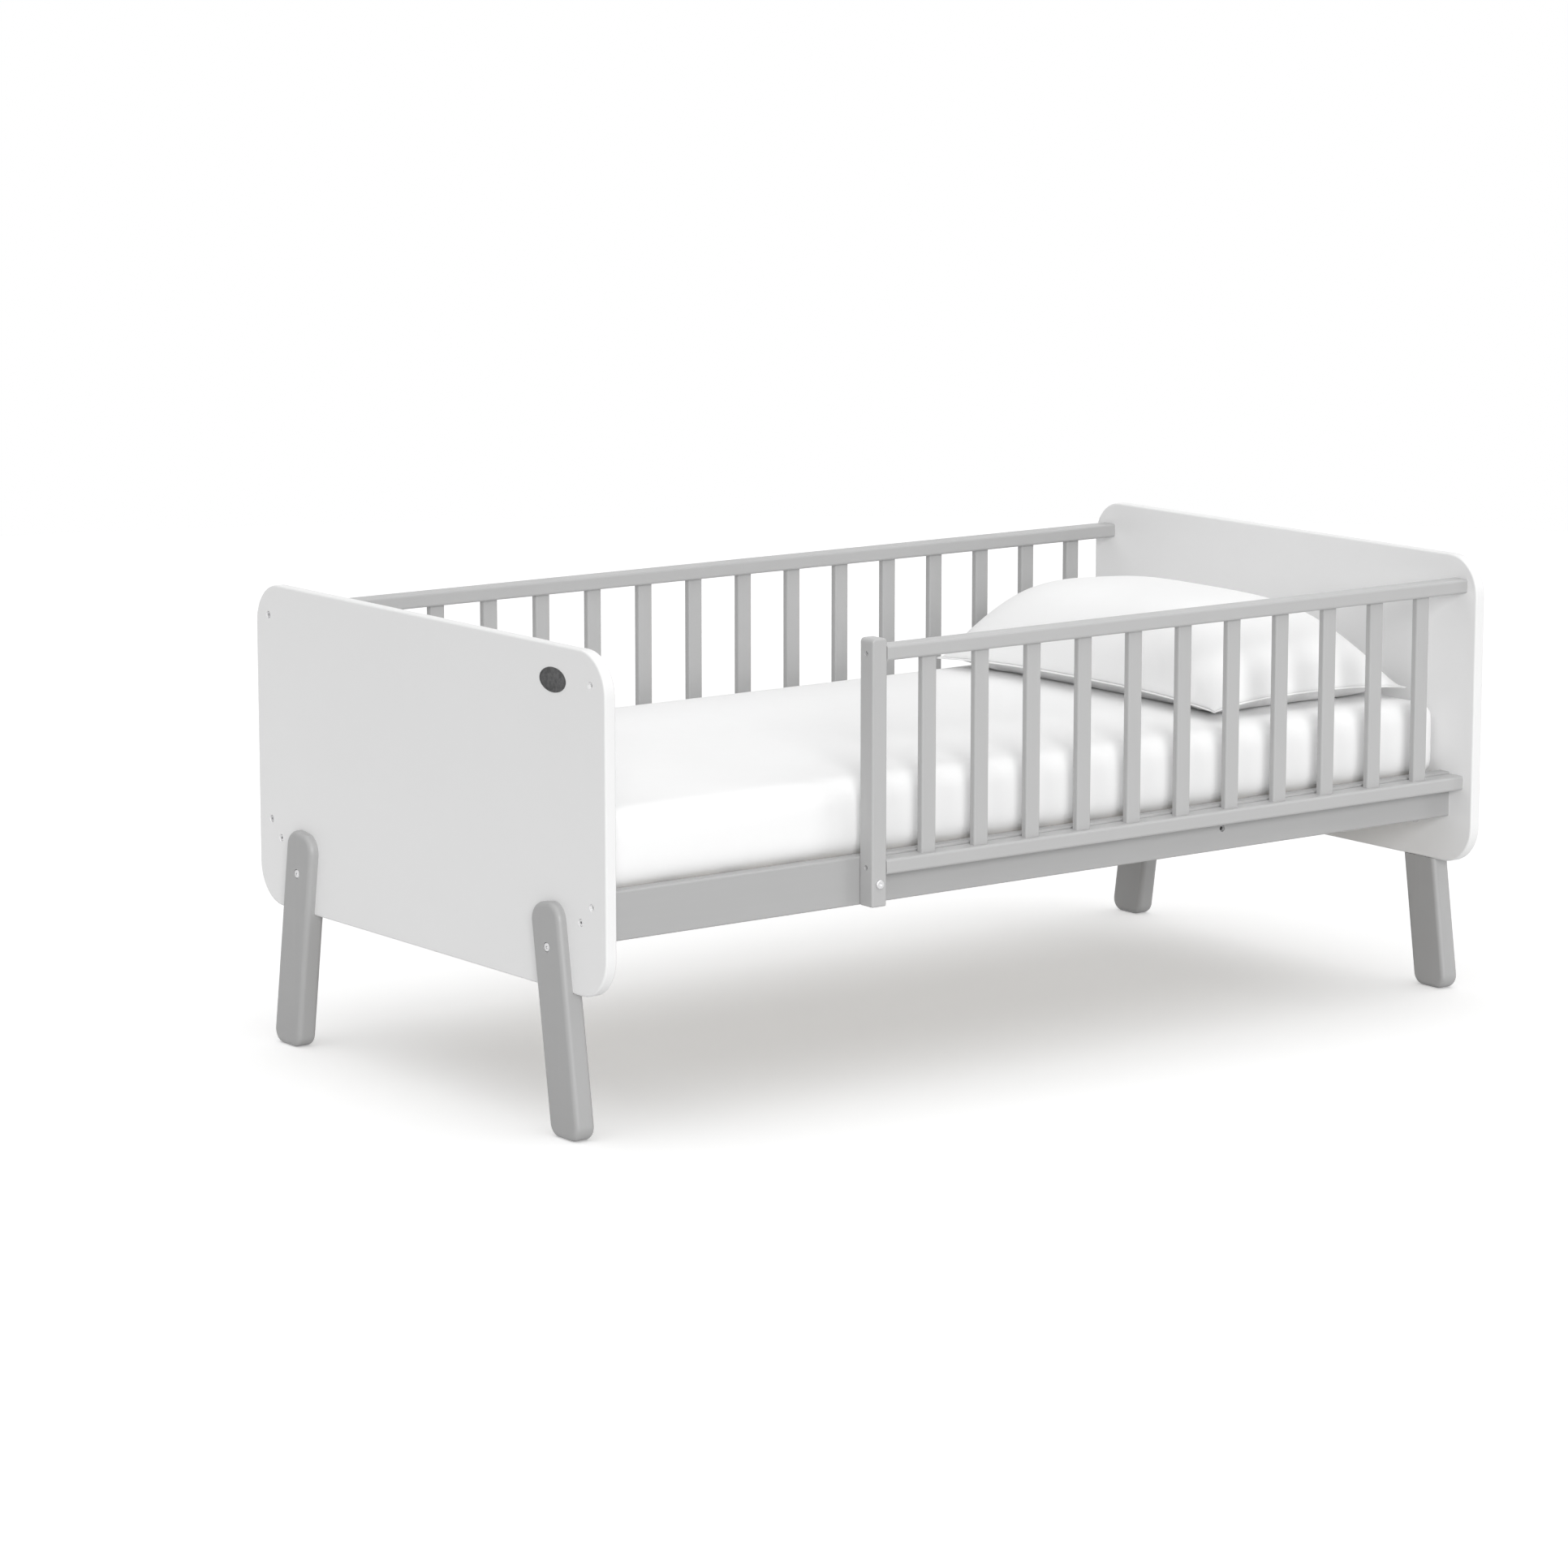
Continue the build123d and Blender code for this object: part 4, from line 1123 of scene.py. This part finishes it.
@dataclass
class Pillow:
    """A filled pillow in a plain woven case: crowned, with sides that pull in between its ears."""

    node: str = "pillow"
    rests_on: str = "mattress"
    middle: tuple[float, float] = (0.587, 0.017)
    half_width: float = 0.197
    half_length: float = 0.335
    height: float = 0.144
    rim_height: float = 0.022
    ear_height: float = 0.012
    lift_start: float = 0.010
    lift_end: float = 0.062
    waist: float = 0.012
    seam_radius: float = 0.0013
    columns: int = 62
    rows: int = 106
    case: ClothFinish = PERCALE
    stuffing: Stuffing = field(
        default_factory=lambda: Stuffing(3.0, 0.03, 0.11, stiffness=16.0, bending=0.06)
    )

    def build(self) -> bpy.types.Object:
        """Returns the finished pillow with its seam, in place on its body."""
        self.rest_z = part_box(self.rests_on)[1].z + 0.0006
        piece, rim = self.shell()
        start = points_of(piece)
        ease, held, limit = self.cloth_plan(start)
        self.stuffing.swell(piece, ease, held, limit)
        move_points(piece, self.kept_clear(points_of(piece)))
        line = points_of(piece)[rim]
        smooth_out(piece, 1)
        piece.data.materials.append(self.case.material("pillow_percale"))
        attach(piece, "pillow")
        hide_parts(self.node)
        LOG.info("built %s", piece.name)
        self.seam(line)
        return piece

    def top(self, across: np.ndarray, along: np.ndarray) -> np.ndarray:
        """Args:
            across: from -1 at the foot side to 1 at the head side.
            along: from -1 at the front to 1 at the rear.

        Returns:
            The upper cloth's points.
        """
        crown = np.clip((1 - np.abs(across) ** 3.8) * (1 - np.abs(along) ** 4.3), 0, 1) ** 0.88
        near_ear = np.clip(-along, 0, 1) * np.clip(across, 0, 1)
        lean = 1 - 0.05 * np.clip(-along, 0, 1) ** 2 - 0.085 * across - 0.10 * near_ear**2
        rim = self.rim(across, along)
        return self.outline(across, along, rim + (self.height - self.rim_height) * crown * lean)

    def bottom(self, across: np.ndarray, along: np.ndarray) -> np.ndarray:
        """Returns the lower cloth's points: flat where it rests, lifted clear all round under the seam."""
        from_rim = np.minimum((1 - np.abs(across)) * self.half_width, (1 - np.abs(along)) * self.half_length)
        share = np.clip((from_rim - self.lift_start) / (self.lift_end - self.lift_start), 0, 1)
        return self.outline(across, along, self.rim(across, along) * (1 - share * share * (3 - 2 * share)))

    def rim(self, across: np.ndarray, along: np.ndarray) -> np.ndarray:
        """Returns the seam's height over the mattress: lower at the ears."""
        return self.rim_height - (self.rim_height - self.ear_height) * np.abs(across * along) ** 3

    def outline(self, across: np.ndarray, along: np.ndarray, height: np.ndarray) -> np.ndarray:
        """Returns the points at these places and heights, with the sides pulled in between the ears."""
        wide = self.half_width - self.waist * (1 - along**2) * across**2
        long = self.half_length - self.waist * (1 - across**2) * along**2
        x = self.middle[0] + across * wide
        y = self.middle[1] + along * long
        return np.stack([x, y, self.rest_z + height], axis=-1)

    def shell(self) -> tuple[bpy.types.Object, list[int]]:
        """Returns the closed shell of two cloths, and its rim's vertices in order."""
        bpy.ops.object.select_all(action="DESELECT")
        bpy.ops.mesh.primitive_grid_add(x_subdivisions=self.columns, y_subdivisions=self.rows, size=2.0)
        piece = bpy.context.active_object
        piece.name = "pillow_case"
        piece.data.name = piece.name
        flat = points_of(piece)
        count = len(flat)
        bpy.ops.object.mode_set(mode="EDIT")
        bpy.ops.mesh.select_all(action="SELECT")
        bpy.ops.mesh.duplicate()
        bpy.ops.mesh.flip_normals()
        bpy.ops.object.mode_set(mode="OBJECT")
        both = points_of(piece)
        lay_cloth_map(piece, lambda points, normals: points[:, :2] * (self.half_width, self.half_length))
        both[:count] = self.top(flat[:, 0], flat[:, 1])
        both[count:] = self.bottom(both[count:, 0], both[count:, 1])
        move_points(piece, both)
        bpy.ops.object.mode_set(mode="EDIT")
        bpy.ops.mesh.select_all(action="SELECT")
        bpy.ops.mesh.remove_doubles(threshold=1e-5)
        bpy.ops.object.mode_set(mode="OBJECT")
        return piece, self.rim_order(piece, flat)

    def rim_order(self, piece: bpy.types.Object, flat: np.ndarray) -> list[int]:
        """Args:
            piece: the closed shell.
            flat: the flat cloth's vertices, from -1 to 1.

        Returns:
            The shell's vertices along the rim, in order round it.
        """
        on_rim = np.max(np.abs(flat[:, :2]), axis=1) > 1 - 1e-6
        wanted = self.top(flat[on_rim, 0], flat[on_rim, 1])
        turn = np.arctan2(flat[on_rim, 1], flat[on_rim, 0])
        points = points_of(piece)
        return [int(np.argmin(np.sum((points - place) ** 2, axis=1))) for place in wanted[np.argsort(turn)]]

    def cloth_plan(self, points: np.ndarray) -> tuple[np.ndarray, np.ndarray, np.ndarray]:
        """Args:
            points: the shell's vertices.

        Returns:
            For each vertex the case's ease, how firmly the filling holds it, and how far it may go.
        """
        across = (points[:, 0] - self.middle[0]) / self.half_width
        along = (points[:, 1] - self.middle[1]) / self.half_length
        edge = np.clip(np.maximum(np.abs(across), np.abs(along)), 0, 1)
        resting = points[:, 2] < self.rest_z + 0.001
        over_rim = points[:, 2] - self.rest_z - self.rim(across, along)
        ease = np.clip(0.25 + 0.75 * edge**3, 0, 1)
        held = np.where(resting, 1.0, 0.0)
        limit = np.where(resting, 0.001, 0.003 + 0.008 * np.clip(over_rim / 0.03, 0, 1))
        return ease, held, limit

    def kept_clear(self, points: np.ndarray) -> np.ndarray:
        """Returns the vertices held above the mattress and clear of the head board."""
        kept = points.copy()
        kept[:, 2] = np.maximum(kept[:, 2], self.rest_z)
        kept[:, 0] = np.minimum(kept[:, 0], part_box("head_panel")[0].x - 0.003)
        return kept

    def seam(self, line: np.ndarray) -> bpy.types.Object:
        """Sews the rim: a thin turned edge all the way round.

        Args:
            line: the rim's points in order.

        Returns:
            The seam.
        """
        curve = bpy.data.curves.new("pillow_seam", "CURVE")
        curve.dimensions = "3D"
        curve.bevel_depth = self.seam_radius
        curve.bevel_resolution = 2
        spline = curve.splines.new("POLY")
        spline.points.add(len(line) - 1)
        for point, place in zip(spline.points, line):
            point.co = (*place, 1.0)
        spline.use_cyclic_u = True
        piece = bpy.data.objects.new("pillow_seam", curve)
        bpy.context.scene.collection.objects.link(piece)
        only(piece)
        bpy.ops.object.convert(target="MESH")
        piece = bpy.context.active_object
        bpy.ops.object.shade_smooth()
        piece.data.materials.append(self.case.material("pillow_seam_cloth", on_piece=False))
        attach(piece, "pillow")
        LOG.info("built %s", piece.name)
        return piece


# ---------------------------------------------------------------------------------------------
# The room


@dataclass(frozen=True)
class Lamp:
    """A far soft lamp.

    Attributes:
        name: what it is for.
        turn: the way it stands from the bed, in degrees from -Y towards +X.
        rise: how high it stands, in degrees.
        spread: how wide it looks from the bed, in degrees.
        strength: the light that falls on a face turned to it.
        spares_floor: True for a low lamp, whose long shadows stay off the floor.
    """

    name: str
    turn: float
    rise: float
    spread: float
    strength: float
    spares_floor: bool = False

    def hang(self, floor: bpy.types.Object) -> bpy.types.Object:
        """Hangs the lamp.

        Args:
            floor: the floor, which a low lamp leaves alone.

        Returns:
            The lamp, aimed at the bed.
        """
        data = bpy.data.lights.new(self.name, "SUN")
        data.energy = self.strength * math.pi
        data.angle = math.radians(self.spread)
        lamp = bpy.data.objects.new(self.name, data)
        turn, rise = math.radians(self.turn), math.radians(self.rise)
        towards = Vector((math.sin(turn) * math.cos(rise), -math.cos(turn) * math.cos(rise), math.sin(rise)))
        lamp.location = towards * 8.0
        lamp.rotation_mode = "QUATERNION"
        lamp.rotation_quaternion = towards.to_track_quat("Z", "Y")
        bpy.context.scene.collection.objects.link(lamp)
        if self.spares_floor:
            spared = bpy.data.collections.new(f"{self.name}_spares")
            spared.objects.link(floor)
            spared.collection_objects[0].light_linking.link_state = "EXCLUDE"
            lamp.light_linking.receiver_collection = spared
        LOG.info("hung %s", self.name)
        return lamp


@dataclass
class Studio:
    """A white room: a pale floor, an even dome of light, three soft lamps and the camera."""

    dome: float = 0.18
    lamps: tuple[Lamp, ...] = (
        Lamp("left_lamp", turn=-29.0, rise=17.0, spread=24.0, strength=0.55, spares_floor=True),
        Lamp("top_lamp", turn=0.0, rise=88.0, spread=100.0, strength=0.62),
        Lamp("right_lamp", turn=45.0, rise=15.0, spread=21.0, strength=0.10, spares_floor=True),
    )
    floor_radius: float = 6.0
    floor_colour: Colour = (0.90, 0.90, 0.90)
    seen_floor: Colour = (0.87, 0.87, 0.87)
    seen_glow: float = 0.405
    camera_place: tuple[float, float, float] = (-4.79881, -6.15225, 1.75555)
    camera_heading: float = 36.8844
    camera_dip: float = 10.1683
    lens: float = 120.17

    def build(self) -> None:
        """Builds the floor, the light and the camera."""
        floor = self.lay_floor()
        self.light_dome()
        for lamp in self.lamps:
            lamp.hang(floor)
        self.set_camera()
        bpy.context.scene.view_settings.view_transform = "Standard"

    def seen(self, graph: Graph) -> bpy.types.NodeSocket:
        """Returns 1 where a surface is looked at, mirrored or seen through glass, and 0 elsewhere."""
        path = graph.node("ShaderNodeLightPath").outputs
        mirrored = graph.maths("MAXIMUM", path["Is Glossy Ray"], path["Is Transmission Ray"])
        return graph.maths("MAXIMUM", path["Is Camera Ray"], mirrored)

    def lay_floor(self) -> bpy.types.Object:
        """Returns the round floor: white where it is looked at, and still shaded under the bed."""
        bpy.ops.object.select_all(action="DESELECT")
        bpy.ops.mesh.primitive_circle_add(
            vertices=96, radius=self.floor_radius, fill_type="NGON", location=(0, 0, 0)
        )
        floor = bpy.context.active_object
        floor.name = "floor"
        material = bpy.data.materials.new("studio_floor")
        material.use_nodes = True
        material.node_tree.nodes.clear()
        graph = Graph(material.node_tree)
        plain = graph.node("ShaderNodeBsdfDiffuse", {"Color": self.floor_colour})
        matt = graph.node("ShaderNodeBsdfDiffuse", {"Color": self.seen_floor})
        glow = graph.node("ShaderNodeEmission", {"Color": (1.0, 1.0, 1.0), "Strength": self.seen_glow})
        bright = graph.node("ShaderNodeAddShader", {0: matt.outputs[0], 1: glow.outputs[0]})
        inputs = {0: self.seen(graph), 1: plain.outputs[0], 2: bright.outputs[0]}
        graph.node(
            "ShaderNodeOutputMaterial", {"Surface": graph.node("ShaderNodeMixShader", inputs).outputs[0]}
        )
        floor.data.materials.append(material)
        LOG.info("laid the floor")
        return floor

    def light_dome(self) -> None:
        """Lights the room evenly from all round, with a white backdrop."""
        world = bpy.data.worlds.new("white_room")
        bpy.context.scene.world = world
        world.use_nodes = True
        world.node_tree.nodes.clear()
        graph = Graph(world.node_tree)
        even = graph.node("ShaderNodeBackground", {"Color": (1.0, 1.0, 1.0), "Strength": self.dome})
        white = graph.node("ShaderNodeBackground", {"Color": (1.0, 1.0, 1.0), "Strength": 1.0})
        inputs = {0: self.seen(graph), 1: even.outputs[0], 2: white.outputs[0]}
        graph.node("ShaderNodeOutputWorld", {"Surface": graph.node("ShaderNodeMixShader", inputs).outputs[0]})
        LOG.info("lit the dome")

    def set_camera(self) -> None:
        """Stands the camera at the front corner of the foot end."""
        data = bpy.data.cameras.new("camera")
        data.sensor_width = 36.0
        data.lens = self.lens
        data.clip_start = 0.1
        data.clip_end = 60.0
        camera = bpy.data.objects.new("camera", data)
        camera.location = self.camera_place
        camera.rotation_euler = (math.radians(90 - self.camera_dip), 0.0, -math.radians(self.camera_heading))
        bpy.context.scene.collection.objects.link(camera)
        bpy.context.scene.camera = camera
        LOG.info("set the camera")


def main() -> None:
    """Builds the room, dresses the frame, and makes the mattress and the pillow."""
    logging.basicConfig(level=logging.INFO, format="%(message)s")
    Studio().build()
    for assembly in (EndPanels(), Legs(), Rails(), GuardUprights(), SlattedBase(), Fixings()):
        assembly.finish()
    Mattress().build()
    Pillow().build()


if __name__ == "__main__":
    main()
